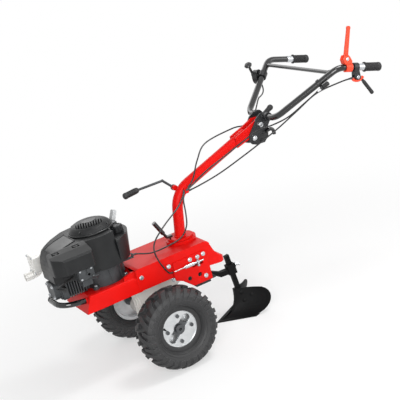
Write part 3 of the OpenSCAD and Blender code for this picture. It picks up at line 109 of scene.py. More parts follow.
def add(tree: bpy.types.NodeTree, kind: str, sockets: dict | None = None, **settings) -> bpy.types.Node:
    """Adds one node with its settings and links.

    Args:
        tree: The tree that gets the node.
        kind: Blender's name of the node type.
        sockets: Input name or number to a value, or to an output socket to link.
        **settings: Attributes set on the node.

    Returns:
        The new node.
    """
    made = tree.nodes.new(kind)
    for name, value in settings.items():
        setattr(made, name, value)
    for key, value in (sockets or {}).items():
        if isinstance(value, bpy.types.NodeSocket):
            tree.links.new(value, made.inputs[key])
        else:
            made.inputs[key].default_value = value
    return made


def per_metre(size_mm: float) -> float:
    """Texture scale for a pattern whose cell is size_mm wide."""
    return 1000.0 / size_mm


class Relief(Enum):
    """What the surface's fine relief is made of."""

    # Moulding grain, rubber bloom and turning marks are finer in life than the picture can show,
    # so the finishes draw them as coarse as they need to be seen.
    ORANGE_PEEL = "orange peel of sprayed enamel"
    SPARK_GRAIN = "spark-eroded grain of a moulding tool"
    SAND_CAST = "sand-cast skin"
    SPANGLE = "zinc spangle"
    TURNED = "turning marks round an axis"
    RUBBER_BLOOM = "matt bloom on rubber"


@dataclass(frozen=True)
class Finish:
    """One real finish, as sprayed, moulded, cast or plated.

    Attributes:
        name: Common name of the material and how it was made.
        colour: Main colour, sRGB hex.
        shade: Colour of its darker or dirtier patches, sRGB hex.
        rough: Lowest and highest roughness over the surface.
        metal: Metallic share.
        relief: What the fine relief is.
        grain_mm: Width of one cell of the relief.
        depth: Strength of the relief, 0 to 1.
        patch_mm: Width of the patches of shade.
        patch: How much of the shade shows, 0 to 1.
        coat: Clear coat weight.
        round_mm: Radius that softens edges, as sprayed or moulded edges have.
        edge: Colour put along edges, sRGB hex: partly rubbed paint and bare metal, partly a painted highlight
            where edges would catch the light.
        edge_wear_and_highlight: How much of the edge colour shows, 0 to 1.
        shine: Specular level of the bare surface.
        centre: A point on the axis of turning marks, in millimetres.
        axis: Direction of that axis.
    """

    name: str
    colour: str
    shade: str
    rough: tuple[float, float]
    metal: float = 0.0
    relief: Relief = Relief.ORANGE_PEEL
    grain_mm: float = 3.0
    depth: float = 0.1
    patch_mm: float = 60.0
    patch: float = 0.5
    coat: float = 0.0
    round_mm: float = 1.2
    edge: str = "#808284"
    edge_wear_and_highlight: float = 0.0
    shine: float = 0.5
    centre: Point = (0.0, 0.0, 0.0)
    axis: str = "Z"

    @cache
    def material(self) -> bpy.types.Material:
        """Builds the finish's material, once.

        Returns:
            The material.
        """
        made = bpy.data.materials.new(self.name)
        made.use_nodes = True
        tree = made.node_tree
        tree.nodes.clear()
        where = add(tree, "ShaderNodeTexCoord").outputs["Object"]
        patches = add(tree, "ShaderNodeTexNoise",
                      {"Vector": where, "Scale": per_metre(self.patch_mm), "Detail": 5.0, "Roughness": 0.62})
        spread = add(tree, "ShaderNodeMapRange",
                     {0: patches.outputs["Fac"], 1: SHADE_SPAN[0], 2: SHADE_SPAN[1], 3: 0.0, 4: self.patch})
        tint = add(tree, "ShaderNodeMix",
                   {0: spread.outputs[0], 6: linear(self.colour), 7: linear(self.shade)}, data_type="RGBA")
        height = self._height(tree, where)
        gloss = add(tree, "ShaderNodeMapRange",
                    {0: patches.outputs["Fac"], 1: GLOSS_SPAN[0], 2: GLOSS_SPAN[1], 3: self.rough[0],
                     4: self.rough[1]})
        edge = add(tree, "ShaderNodeBevel", {"Radius": self.round_mm * MM}, samples=4)
        face = add(tree, "ShaderNodeNewGeometry")
        turn = add(tree, "ShaderNodeVectorMath", {0: edge.outputs[0], 1: face.outputs["Normal"]},
                   operation="DOT_PRODUCT")
        # Edges, where the softened normal turns away from the face's, take the edge colour: partly rubbed
        # paint, partly a painted highlight.
        worn_and_highlit_edges = add(tree, "ShaderNodeMapRange",
                     {0: turn.outputs["Value"], 1: EDGE_WEAR_AND_HIGHLIGHT_SPAN[0], 2: EDGE_WEAR_AND_HIGHLIGHT_SPAN[1], 3: 0.0, 4: self.edge_wear_and_highlight})
        skin = add(tree, "ShaderNodeMix", {0: worn_and_highlit_edges.outputs[0], 6: tint.outputs[2], 7: linear(self.edge)},
                   data_type="RGBA")
        bump = add(tree, "ShaderNodeBump",
                   {"Strength": self.depth, "Distance": self.grain_mm * MM * 0.25, "Height": height,
                    "Normal": edge.outputs[0]})
        shader = add(tree, "ShaderNodeBsdfPrincipled",
                     {"Base Color": skin.outputs[2], "Roughness": gloss.outputs[0], "Metallic": self.metal,
                      "Coat Weight": self.coat, "Coat Roughness": 0.12, "Normal": bump.outputs[0],
                      "Specular IOR Level": self.shine})
        add(tree, "ShaderNodeOutputMaterial", {"Surface": shader.outputs[0]})
        return made

    def _height(self, tree: bpy.types.NodeTree, where: bpy.types.NodeSocket) -> bpy.types.NodeSocket:
        """Adds the relief's pattern.

        Args:
            tree: The material's tree.
            where: Object coordinates.

        Returns:
            The socket of the relief's height.
        """
        scale = per_metre(self.grain_mm)
        if self.relief in (Relief.SPANGLE, Relief.SAND_CAST):
            cells = add(tree, "ShaderNodeTexVoronoi", {"Vector": where, "Scale": scale},
                        feature="F1" if self.relief is Relief.SPANGLE else "SMOOTH_F1")
            return cells.outputs["Color" if self.relief is Relief.SPANGLE else "Distance"]
        if self.relief is Relief.TURNED:
            middle = add(tree, "ShaderNodeVectorMath", {0: where, 1: to_row(self.centre)}, operation="SUBTRACT")
            rings = add(tree, "ShaderNodeTexWave",
                        {"Vector": middle.outputs[0], "Scale": scale, "Distortion": 0.4, "Detail": 2.0},
                        wave_type="RINGS", rings_direction=self.axis)
            return rings.outputs["Fac"]
        detail = {Relief.ORANGE_PEEL: 1.0, Relief.SPARK_GRAIN: 4.0, Relief.RUBBER_BLOOM: 6.0}[self.relief]
        return add(tree, "ShaderNodeTexNoise",
                   {"Vector": where, "Scale": scale, "Detail": detail}).outputs["Fac"]


# Enamel sprayed on pressed steel: a clear red with a soft orange peel and little shine, painted a lighter red
# along its edges as a highlight.
RED_ENAMEL = Finish("red_enamel_on_pressed_steel", "#D4130F", "#B80F0C", (0.3, 0.4), grain_mm=4.0, depth=0.05,
                    patch_mm=140.0, shine=0.1, edge="#E8392F", edge_wear_and_highlight=0.3, round_mm=2.0)
# Black enamel on bent tube: deep, with a clear shine that runs along the tube.
BLACK_ENAMEL = Finish("black_enamel_on_steel_tube", "#0E0F10", "#151617", (0.14, 0.22), grain_mm=3.0,
                      depth=0.03, coat=0.4)
# Black enamel on cut plate: duller than on tube, a little lighter along its edges, partly rubbed and partly a
# painted highlight.
BLACK_PLATE = Finish("black_enamel_on_cut_plate", "#17181A", "#232426", (0.34, 0.48), grain_mm=3.0, depth=0.06,
                     edge_wear_and_highlight=0.25, edge="#3C3E40")
# Moulded polypropylene of engine covers: fine grain, broad dull shine, with a painted highlight lightening its
# edges.
ENGINE_PLASTIC = Finish("moulded_black_polypropylene", "#141516", "#1D1E1F", (0.36, 0.5),
                        relief=Relief.SPARK_GRAIN, grain_mm=1.6, depth=0.12, round_mm=2.2, edge="#4A4C50",
                        edge_wear_and_highlight=0.5, shine=0.3)
# Smooth moulded nylon of switch boxes, levers and knobs: blacker and shinier than the covers, with a faint
# painted highlight on its edges.
CONTROL_NYLON = Finish("smooth_black_nylon", "#131415", "#1E1F20", (0.28, 0.4), relief=Relief.SPARK_GRAIN,
                       grain_mm=1.0, depth=0.06, round_mm=1.6, edge="#36383A", edge_wear_and_highlight=0.2)
# Die-cast alloy sprayed dark: a satin skin with some bare metal in it.
DARK_ALLOY = Finish("dark_sprayed_die_cast_alloy", "#3A3C3E", "#55585A", (0.4, 0.55), metal=0.55,
                    relief=Relief.SAND_CAST, grain_mm=2.5, depth=0.2, edge="#8A8C8E", edge_wear_and_highlight=0.35)
# Cast gearbox in pale silver spray: granular, a little metallic.
SILVER_CASTING = Finish("silver_sprayed_casting", "#D6D5D0", "#BCBBB6", (0.4, 0.55), metal=0.3,
                        relief=Relief.SAND_CAST, grain_mm=3.0, depth=0.25)
# Hot-dip galvanised pressed steel: pale grey with spangle.
GALVANISED = Finish("galvanised_pressed_steel", "#CFD1D2", "#B0B3B5", (0.28, 0.46), metal=0.8,
                    relief=Relief.SPANGLE, grain_mm=7.0, depth=0.05, patch_mm=22.0)
# Zinc plate on fasteners: bright, cool and smooth.
ZINC_PLATE = Finish("zinc_plated_steel", "#C6C9CC", "#9DA1A4", (0.2, 0.36), metal=0.9, grain_mm=1.5, depth=0.05,
                    patch_mm=12.0)
# Bright plated bolt heads.
BRIGHT_PLATE = Finish("bright_plated_steel", "#E2E4E6", "#BFC2C6", (0.1, 0.24), metal=1.0, grain_mm=1.5,
                      depth=0.03, patch_mm=14.0)
# Turned hubs and axle: dark, oily and ringed round the axle.
AXLE_STEEL = Finish("turned_oiled_axle_steel", "#5E6062", "#3C3E40", (0.3, 0.45), metal=0.9,
                    relief=Relief.TURNED, grain_mm=2.0, depth=0.12, centre=(0.0, 0.0, 165.0), axis="Y")
# Turned pulleys: bare grey steel ringed round the crankshaft.
PULLEY_STEEL = Finish("turned_pulley_steel", "#6E7072", "#4C4E50", (0.3, 0.45), metal=0.9, relief=Relief.TURNED,
                      grain_mm=2.0, depth=0.1, centre=(-150.0, 0.0, 0.0))
# Aluminised muffler steel: pale, a little warm from heat.
MUFFLER_STEEL = Finish("aluminised_muffler_steel", "#E4E3E0", "#CAC7C1", (0.3, 0.46), metal=0.5, grain_mm=2.0,
                       depth=0.08, patch_mm=35.0)
# Vulcanised tyre rubber: near black, matt, paler along its edges, partly scuffed and partly a painted
# highlight.
TYRE_RUBBER = Finish("vulcanised_tyre_rubber", "#222223", "#303031", (0.5, 0.68), relief=Relief.RUBBER_BLOOM,
                     grain_mm=5.0, depth=0.15, patch_mm=70.0, round_mm=2.5, edge="#5A5A5C", edge_wear_and_highlight=0.6)
# Soft grip rubber: darker and finer, with a faint painted highlight on its edges.
GRIP_RUBBER = Finish("soft_grip_rubber", "#131314", "#1E1E1F", (0.5, 0.66), relief=Relief.RUBBER_BLOOM,
                     grain_mm=1.5, depth=0.1, edge="#2C2C2D", edge_wear_and_highlight=0.3)
# Extruded PVC sheath of a control cable: smooth with a long highlight.
PVC_SHEATH = Finish("extruded_pvc_sheath", "#101011", "#18181A", (0.24, 0.36), grain_mm=2.0, depth=0.03,
                    round_mm=0.4)
# Black enamel on ploughshare steel: deep and dull, as dipped and not polished; its edges are a little lighter,
# partly rubbed and partly a painted highlight.
SOIL_ENAMEL = Finish("black_enamel_on_ploughshare_steel", "#050506", "#09090A", (0.5, 0.64), grain_mm=5.0,
                     depth=0.05, shine=0.14, edge="#1E1E1F", edge_wear_and_highlight=0.3)
# Grey moulded nylon of the starter grip.
GREY_NYLON = Finish("grey_moulded_nylon", "#B8BABB", "#A4A6A7", (0.4, 0.55), relief=Relief.SPARK_GRAIN,
                    grain_mm=1.2, depth=0.12)
# White moulded nylon of cable adjusters.
WHITE_NYLON = Finish("white_moulded_nylon", "#E4E5E6", "#CFD0D1", (0.36, 0.5), relief=Relief.SPARK_GRAIN,
                     grain_mm=1.2, depth=0.08)
# Orange moulded acetal of the reverse lever and the clutch catch.
ORANGE_ACETAL = Finish("orange_moulded_acetal", "#EE4420", "#D93A1A", (0.34, 0.48), relief=Relief.SPARK_GRAIN,
                       grain_mm=1.2, depth=0.08, round_mm=2.0)


def dress(finish: Finish, *nodes: str) -> None:
    """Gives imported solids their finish.

    Args:
        finish: The finish.
        *nodes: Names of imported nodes.
    """
    for name in nodes:
        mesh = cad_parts[name].data
        mesh.materials.clear()
        mesh.materials.append(finish.material())
        LOG.info("dressed %s in %s", name, finish.name)


def piece_from(name: str, mesh: bpy.types.Mesh, finish: Finish | None = None) -> bpy.types.Object:
    """Links a mesh as a piece at the origin.

    Args:
        name: The piece's name.
        mesh: Its mesh, in metres in the row frame.
        finish: Its finish, where the mesh has none yet.

    Returns:
        The new object.
    """
    made = bpy.data.objects.new(name, mesh)
    mesh.name = name
    bpy.context.scene.collection.objects.link(made)
    if finish:
        mesh.materials.clear()
        mesh.materials.append(finish.material())
    for face in mesh.polygons:
        face.use_smooth = True
    return made


def baked(name: str, source: bpy.types.Object, tree: bpy.types.NodeTree,
          values: dict[str, object]) -> bpy.types.Mesh:
    """Runs a geometry tree on an object and returns the plain mesh.

    Args:
        name: Name of the new mesh.
        source: The curve or points that the tree reads. It is removed afterwards.
        tree: The geometry tree.
        values: Input name to value.

    Returns:
        The realised mesh.
    """
    step = source.modifiers.new("shape", "NODES")
    step.node_group = tree
    for item in tree.interface.items_tree:
        if item.item_type == "SOCKET" and item.in_out == "INPUT" and item.name in values:
            step[item.identifier] = values[item.name]
    bpy.context.view_layer.update()
    graph = bpy.context.evaluated_depsgraph_get()
    mesh = bpy.data.meshes.new_from_object(source.evaluated_get(graph), depsgraph=graph)
    mesh.name = name
    source.modifiers.remove(step)
    bpy.data.objects.remove(source)
    return mesh


def new_tree(name: str, inputs: dict[str, tuple[str, object]]) -> tuple[bpy.types.NodeTree, bpy.types.Node]:
    """Starts a geometry tree with named inputs.

    Args:
        name: The tree's name.
        inputs: Input name to socket type and default.

    Returns:
        The tree and its group input node.
    """
    tree = bpy.data.node_groups.new(name, "GeometryNodeTree")
    tree.interface.new_socket("Geometry", in_out="INPUT", socket_type="NodeSocketGeometry")
    for key, (kind, value) in inputs.items():
        made = tree.interface.new_socket(key, in_out="INPUT", socket_type=kind)
        if value is not None:
            made.default_value = value
    tree.interface.new_socket("Geometry", in_out="OUTPUT", socket_type="NodeSocketGeometry")
    return tree, tree.nodes.new("NodeGroupInput")


def close_tree(tree: bpy.types.NodeTree, shape: bpy.types.NodeSocket, finish: bpy.types.NodeSocket) -> None:
    """Ends a geometry tree in Realize Instances and Set Material.

    Args:
        tree: The tree.
        shape: The geometry to realise.
        finish: The material input's socket.
    """
    real = add(tree, "GeometryNodeRealizeInstances", {0: shape})
    painted = add(tree, "GeometryNodeSetMaterial", {"Geometry": real.outputs[0], "Material": finish})
    out = tree.nodes.new("NodeGroupOutput")
    tree.links.new(painted.outputs[0], out.inputs[0])


@cache
def sheath_tree() -> bpy.types.NodeTree:
    """Builds the tree that draws a round sheath along a curve, once.

    Returns:
        The tree.
    """
    tree, given = new_tree("sheath_along_route", {
        "Radius": ("NodeSocketFloat", 0.003), "Sides": ("NodeSocketInt", 16),
        "Finish": ("NodeSocketMaterial", None)})
    ring = add(tree, "GeometryNodeCurvePrimitiveCircle",
               {"Resolution": given.outputs["Sides"], "Radius": given.outputs["Radius"]})
    tube = add(tree, "GeometryNodeCurveToMesh",
               {"Curve": given.outputs["Geometry"], "Profile Curve": ring.outputs[0], "Fill Caps": True})
    close_tree(tree, tube.outputs[0], given.outputs["Finish"])
    return tree


def carry(made: bpy.types.Object, body: str) -> bpy.types.Object:
    """Hangs a piece on a body.

    Args:
        made: The piece.
        body: The body that carries it.

    Returns:
        The piece.
    """
    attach(made, body)
    LOG.info("made %s on %s", made.name, body)
    return made


@cache
def bolt_tree() -> bpy.types.NodeTree:
    """Builds the tree that sets a bolt head on every point, once.

    A hexagon head stands on a round collar, 1.45 times as wide and half as high, along the point's
    away attribute.

    Returns:
        The tree.
    """
    tree, given = new_tree("bolt_heads_on_points", {
        "Radius": ("NodeSocketFloat", 0.006), "Height": ("NodeSocketFloat", 0.005),
        "Finish": ("NodeSocketMaterial", None)})
    head = add(tree, "GeometryNodeMeshCylinder",
               {"Vertices": 6, "Radius": given.outputs["Radius"], "Depth": given.outputs["Height"]})
    half = add(tree, "ShaderNodeMath", {0: given.outputs["Height"], 1: 0.75}, operation="MULTIPLY")
    lift = add(tree, "ShaderNodeCombineXYZ", {"Z": half.outputs[0]})
    raised = add(tree, "GeometryNodeTransform",
                 {"Geometry": head.outputs["Mesh"], "Translation": lift.outputs[0]})
    wide = add(tree, "ShaderNodeMath", {0: given.outputs["Radius"], 1: 1.45}, operation="MULTIPLY")
    thin = add(tree, "ShaderNodeMath", {0: given.outputs["Height"], 1: 0.5}, operation="MULTIPLY")
    collar = add(tree, "GeometryNodeMeshCylinder",
                 {"Vertices": 20, "Radius": wide.outputs[0], "Depth": thin.outputs[0]})
    both = tree.nodes.new("GeometryNodeJoinGeometry")
    tree.links.new(raised.outputs[0], both.inputs[0])
    tree.links.new(collar.outputs["Mesh"], both.inputs[0])
    way = add(tree, "GeometryNodeInputNamedAttribute", {"Name": "away"}, data_type="FLOAT_VECTOR")
    turn = add(tree, "FunctionNodeAlignRotationToVector", {"Vector": way.outputs[0]}, axis="Z")
    many = add(tree, "GeometryNodeInstanceOnPoints",
               {"Points": given.outputs["Geometry"], "Instance": both.outputs[0], "Rotation": turn.outputs[0]})
    close_tree(tree, many.outputs[0], given.outputs["Finish"])
    return tree


def bolts(name: str, body: str, places: list[tuple[Point, Point]], radius: float, height: float,
          finish: Finish) -> None:
    """Sets bolt heads on a body.

    Args:
        name: The piece's name.
        body: The body that carries it.
        places: Seat and outward direction of each bolt, in millimetres.
        radius: Corner radius of a head.
        height: Height of a head.
        finish: Finish of the bolts.
    """
    mesh = bpy.data.meshes.new(name + "_points")
    mesh.from_pydata([to_row(seat) for seat, _ in places], [], [])
    ways = mesh.attributes.new("away", "FLOAT_VECTOR", "POINT")
    for item, (_, away) in zip(ways.data, places):
        item.vector = Vector(away).normalized()
    points = bpy.data.objects.new(name + "_points", mesh)
    bpy.context.scene.collection.objects.link(points)
    shape = baked(name, points, bolt_tree(),
                  {"Radius": radius * MM, "Height": height * MM, "Finish": finish.material()})
    made = piece_from(name, shape)
    for face in made.data.polygons:
        face.use_smooth = False
    carry(made, body)


def smooth_route(route: list[Point], steps: int = 10) -> list[Vector]:
    """Passes a smooth curve through route points.

    Args:
        route: Points in millimetres.
        steps: Points on each stretch.

    Returns:
        Points in metres.
    """
    pts = [to_row(p) for p in route]
    line = []
    for i in range(len(pts) - 1):
        a, b, c, d = pts[max(i - 1, 0)], pts[i], pts[i + 1], pts[min(i + 2, len(pts) - 1)]
        bend, twist = 2 * a - 5 * b + 4 * c - d, 3 * b - a - 3 * c + d
        for t in (j / steps for j in range(steps)):
            line.append(0.5 * (2 * b + (c - a) * t + bend * t * t + twist * t ** 3))
    return line + [pts[-1]]


def curve_object(name: str, lines: list[list[Vector]]) -> bpy.types.Object:
    """Makes a curve object out of points.

    Args:
        name: The curve's name.
        lines: One list of points in metres for each line.

    Returns:
        The linked curve object.
    """
    curve = bpy.data.curves.new(name + "_route", "CURVE")
    curve.dimensions = "3D"
    for line in lines:
        spline = curve.splines.new("POLY")
        spline.points.add(len(line) - 1)
        for item, p in zip(spline.points, line):
            item.co = (*p, 1.0)
    made = bpy.data.objects.new(name + "_route", curve)
    bpy.context.scene.collection.objects.link(made)
    return made


def tube(name: str, lines: list[list[Vector]], radius: float, finish: Finish,
         sides: int = 16) -> bpy.types.Object:
    """Draws round tubes along points.

    Args:
        name: The piece's name.
        lines: Centre points of each tube, in metres.
        radius: Radius in millimetres.
        finish: Finish of the tubes.
        sides: Sides of their section.

    Returns:
        The piece, which rides on nothing yet.
    """
    mesh = baked(name, curve_object(name, lines), sheath_tree(),
                 {"Radius": radius * MM, "Sides": sides, "Finish": finish.material()})
    return piece_from(name, mesh)


@cache
def bead_tree() -> bpy.types.NodeTree:
    """Builds the tree that lays overlapping weld ripples along a curve, once.

    Returns:
        The tree.
    """
    tree, given = new_tree("weld_ripples_along_seam", {
        "Radius": ("NodeSocketFloat", 0.0025), "Pitch": ("NodeSocketFloat", 0.002),
        "Finish": ("NodeSocketMaterial", None)})
    seam = add(tree, "GeometryNodeCurveToPoints",
               {"Curve": given.outputs["Geometry"], "Length": given.outputs["Pitch"]}, mode="LENGTH")
    drop = add(tree, "GeometryNodeMeshIcoSphere", {"Radius": given.outputs["Radius"], "Subdivisions": 2})
    size = add(tree, "FunctionNodeRandomValue", {2: 0.88, 3: 1.12, "Seed": 7}, data_type="FLOAT")
    many = add(tree, "GeometryNodeInstanceOnPoints", {"Points": seam.outputs["Points"],
                                                      "Instance": drop.outputs["Mesh"],
                                                      "Rotation": seam.outputs["Rotation"],
                                                      "Scale": size.outputs[1]})
    close_tree(tree, many.outputs[0], given.outputs["Finish"])
    return tree


def welds(name: str, body: str, seams: list[list[Vector]], finish: Finish,
          radius: float = 2.6) -> None:
    """Lays weld beads along seams.

    Args:
        name: The piece's name.
        body: The body that carries it.
        seams: Points of each seam, in metres.
        finish: Finish of the beads.
        radius: Radius of a bead in millimetres.
    """
    mesh = baked(name, curve_object(name, seams), bead_tree(),
                 {"Radius": radius * MM, "Pitch": 0.8 * radius * MM, "Finish": finish.material()})
    carry(piece_from(name, mesh), body)


def circle(centre: Point, way: Point, radius: float, sides: int = 48) -> list[Vector]:
    """Points of a closed circle.

    Args:
        centre: Its centre in millimetres.
        way: Its axis.
        radius: Its radius in millimetres.
        sides: Number of points.

    Returns:
        Points in metres, the first one again at the end.
    """
    axis = Vector(way).normalized()
    side = axis.orthogonal().normalized()
    other = axis.cross(side)
    turns = [math.tau * i / sides for i in range(sides + 1)]
    return [to_row(Vector(centre) + radius * (side * math.cos(a) + other * math.sin(a))) for a in turns]


def touch(node: str, start: Point, way: Point) -> tuple[Vector, Vector]:
    """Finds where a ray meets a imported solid.

    Args:
        node: The solid's name.
        start: Start of the ray in millimetres.
        way: Its direction.

    Returns:
        The point in millimetres and the outward normal there.
    """
    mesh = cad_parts[node].data
    skin = BVHTree.FromPolygons([v.co for v in mesh.vertices], [list(p.vertices) for p in mesh.polygons])
    ray = Vector(way).normalized()
    place, normal, _, _ = skin.ray_cast(to_row(start), ray)
    if place is None:
        raise ValueError(f"no part of {node} lies on the ray from {start}")
    return from_axle(place), normal if normal.dot(ray) < 0 else -normal


class Shape:
    """Closed forms in millimetres, gathered into one mesh."""

    def __init__(self) -> None:
        """Starts with nothing."""
        self.points: list[Vector] = []
        self.faces: list[list[int]] = []

    def skin(self, rings: list[list[Vector]], closed: bool = False) -> None:
        """Skins rings of equal length.

        Args:
            rings: The rings, each turning the same way round the line through them.
            closed: Whether the last ring joins the first; otherwise both ends are capped.
        """
        first, n, count = len(self.points), len(rings[0]), len(rings)
        for ring in rings:
            self.points.extend(ring)
        for i in range(count if closed else count - 1):
            a, b = first + i * n, first + (i + 1) % count * n
            self.faces += [[a + s, a + (s + 1) % n, b + (s + 1) % n, b + s] for s in range(n)]
        if not closed:
            self.faces.append([first + s for s in reversed(range(n))])
            self.faces.append([first + (count - 1) * n + s for s in range(n)])

    def turned(self, profile: list[tuple[float, float]], base: Point, way: Point, sides: int = 32,
               closed: bool = False) -> None:
        """Turns a profile about an axis.

        Args:
            profile: Radius and height of each point.
            base: Where the axis starts.
            way: Direction of the axis.
            sides: Sides of the form.
            closed: Whether the profile is a closed loop, as of a ring.
        """
        axis = Vector(way).normalized()
        side = axis.orthogonal().normalized()
        other = axis.cross(side)
        turns = [math.tau * s / sides for s in range(sides)]
        self.skin([[Vector(base) + axis * h + r * (side * math.cos(a) + other * math.sin(a)) for a in turns]
                   for r, h in profile], closed)

    def bar(self, line: list[Point], wide: float, high: float, across: Point, sides: int = 16) -> None:
        """Sweeps an ellipse along a line.

        Args:
            line: Points of the line.
            wide: Half width along the across direction.
            high: Half height square to it.
            across: A direction square to the whole line.
            sides: Sides of the section.
        """
        pts = [Vector(p) for p in line]
        side = Vector(across).normalized()
        rings = []
        for i, p in enumerate(pts):
            ahead = (pts[min(i + 1, len(pts) - 1)] - pts[max(i - 1, 0)]).normalized()
            up = ahead.cross(side)
            turns = [math.tau * s / sides for s in range(sides)]
            rings.append([p + side * wide * math.cos(a) + up * high * math.sin(a) for a in turns])
        self.skin(rings)

    def prism(self, outline: list[tuple[float, float]], base: Point, way: Point, side: Point,
              depth: float) -> None:
        """Raises an outline along a direction.

        Args:
            outline: Points as lengths along side and along way cross side.
            base: Where the outline's zero lies.
            way: Direction of the height.
            side: First direction of the outline.
            depth: The height.
        """
        axis, first = Vector(way).normalized(), Vector(side).normalized()
        second = axis.cross(first)
        flat = [Vector(base) + u * first + v * second for u, v in outline]
        self.skin([flat, [p + axis * depth for p in flat]])

    def piece(self, name: str, body: str, slot: str, finish: Finish, sharp: float = 38.0) -> bpy.types.Object:
        """Makes the piece.

        Args:
            name: Its name.
            body: The body that carries it.
            slot: The record's material slot; not used.
            finish: Its finish.
            sharp: Edges that turn by more than this many degrees stay sharp.

        Returns:
            The piece.
        """
        mesh = bpy.data.meshes.new(name)
        mesh.from_pydata([to_row(p) for p in self.points], [], self.faces)
        work = bmesh.new()
        work.from_mesh(mesh)
        bmesh.ops.recalc_face_normals(work, faces=work.faces)
        work.to_mesh(mesh)
        work.free()
        made = piece_from(name, mesh, finish)
        mesh.set_sharp_from_angle(angle=math.radians(sharp))
        return carry(made, body)


def ring_profile(inner: float, outer: float, low: float, high: float,
                 soft: float = 0.6) -> list[tuple[float, float]]:
    """Closed profile of a sleeve with softened outer edges.

    Args:
        inner: Inner radius.
        outer: Outer radius.
        low: Where it starts on its axis.
        high: Where it ends.
        soft: Size of the softened edges.

    Returns:
        Radius and height of each point.
    """
    return [(inner, low), (outer - soft, low), (outer, low + soft), (outer, high - soft), (outer - soft, high),
            (inner, high)]


def round_profile(radius: float, height: float, thick: float) -> list[tuple[float, float]]:
    """Closed profile of a hoop with a round section.

    Args:
        radius: Radius of the hoop's middle.
        height: Where it lies on its axis.
        thick: Radius of its section.

    Returns:
        Radius and height of each point.
    """
    turns = (math.tau * i / 10 for i in range(10))
    return [(radius + thick * math.cos(a), height + thick * math.sin(a)) for a in turns]


def ribs(low: float, high: float, count: int, crest: float, root: float) -> list[tuple[float, float]]:
    """Profile of evenly spaced round ribs.

    Args:
        low: Where they start.
        high: Where they end.
        count: Number of ribs.
        crest: Radius over the ribs.
        root: Radius between them.

    Returns:
        Radius and height of each point.
    """
    pitch = (high - low) / count
    steps = ((0.0, root), (0.2, crest), (0.55, crest), (0.75, root))
    return [(r, low + pitch * (i + share)) for i in range(count) for share, r in steps]


@dataclass(frozen=True)
class Route:
    """One control cable.

    Attributes:
        name: The piece's name.
        node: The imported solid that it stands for.
        near: Body at its start.
        far: Body at its end.
        points: Places that it passes, with heights over the deck.
        bare: Whether its far end takes no ferrule, as a rod slides over it.
    """

    name: str
    node: str
    near: str
    far: str
    points: list[Point]
    bare: bool = False


@dataclass
class CableLoom:
    """Clutch, throttle and reverse cables between the handlebar, the column's clip and the body.

    Attributes:
        radius: Radius of a sheath.
        ferrule: Radius and distance from the sheath's end of each step of a ferrule.
        routes: The cables.
    """

    radius: float = 3.0
    ferrule: list[tuple[float, float]] = field(default_factory=lambda: [
        (3.2, -1.0), (4.1, -0.6), (4.1, 9.0), (3.7, 9.6), (3.7, 15.0), (3.1, 16.0)])
    routes: list[Route] = field(default_factory=lambda: [
        Route("clutch_cable_upper", "upper_cables", "handlebar", "column", [
            (985, -272, 484), (930, -259, 482), (840, -219, 462), (780, -141, 400), (714, -84, 346),
            (650, -60, 314), (560, -48, 282), (430, -38, 244), (330, -32, 226), (278.8, -29, 221)]),
        Route("throttle_cable_upper", "upper_cables", "handlebar", "column", [
            (861, 256.7, 461), (866.3, 260.3, 448.6), (868.5, 261.5, 436), (862, 254.5, 424), (846, 239.5, 417),
            (822, 217, 416), (796, 193, 413), (726, 136, 366), (650, 82, 360), (570, 46, 376), (430, 30, 364),
            (360, -6, 320), (310, -34, 264), (280.2, -29, 233)]),
        Route("reverse_cable", "upper_cables", "handlebar", "column", [
            (848, -232, 474), (800, -190.4, 436), (740, -138, 390), (690, -78, 364), (640, -54, 360),
            (560, -48, 336), (460, -46, 304), (380, -50, 282), (320, -50, 258), (286, -44, 238),
            (266, -36.7, 228)]),
        Route("clutch_cable_lower", "lower_cables", "column", "chassis", [
            (259.4, -29, 221), (206, -58, 184), (114, -99.9, 150), (50, -123.9, 114), (30, -133.9, 80),
            (34, -137.9, 40), (48, -135.9, 2), (66, -129.9, -30), (83.6, -129.9, -36)], bare=True),
        Route("throttle_cable_lower", "lower_cables", "column", "chassis", [
            (259.4, -29, 229), (244, -36, 190), (236, -44, 140), (218, -60, 96), (180, -66, 62), (120, -48, 44),
            (50, -40, 42), (-10, -48, 64), (-28, -50, 67)])])

    def build(self) -> None:
        """Draws the sheaths, and their ferrules on the bodies at their ends."""
        ends: dict[str, Shape] = {}
        for route in self.routes:
            line = self._sheath(route)
            tips = [(route.near, line[0], line[3])] + [(route.far, line[-1], line[-4])] * (not route.bare)
            for body, tip, next_to in tips:
                ends.setdefault(body, Shape()).turned(self.ferrule, from_axle(tip), next_to - tip, 16)
        for body, shape in ends.items():
            shape.piece(f"{body}_cable_ferrules", body, "zinc_steel", DARK_ALLOY)

    def _sheath(self, route: Route) -> list[Vector]:
        """Draws one sheath.

        Args:
            route: The cable.

        Returns:
            Points along its middle, in metres.
        """
        line = smooth_route([(x, y, z + DECK) for x, y, z in route.points])
        made = tube(route.name, [line], self.radius, PVC_SHEATH)
        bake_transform(made)
        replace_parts(made, route.node)
        return line


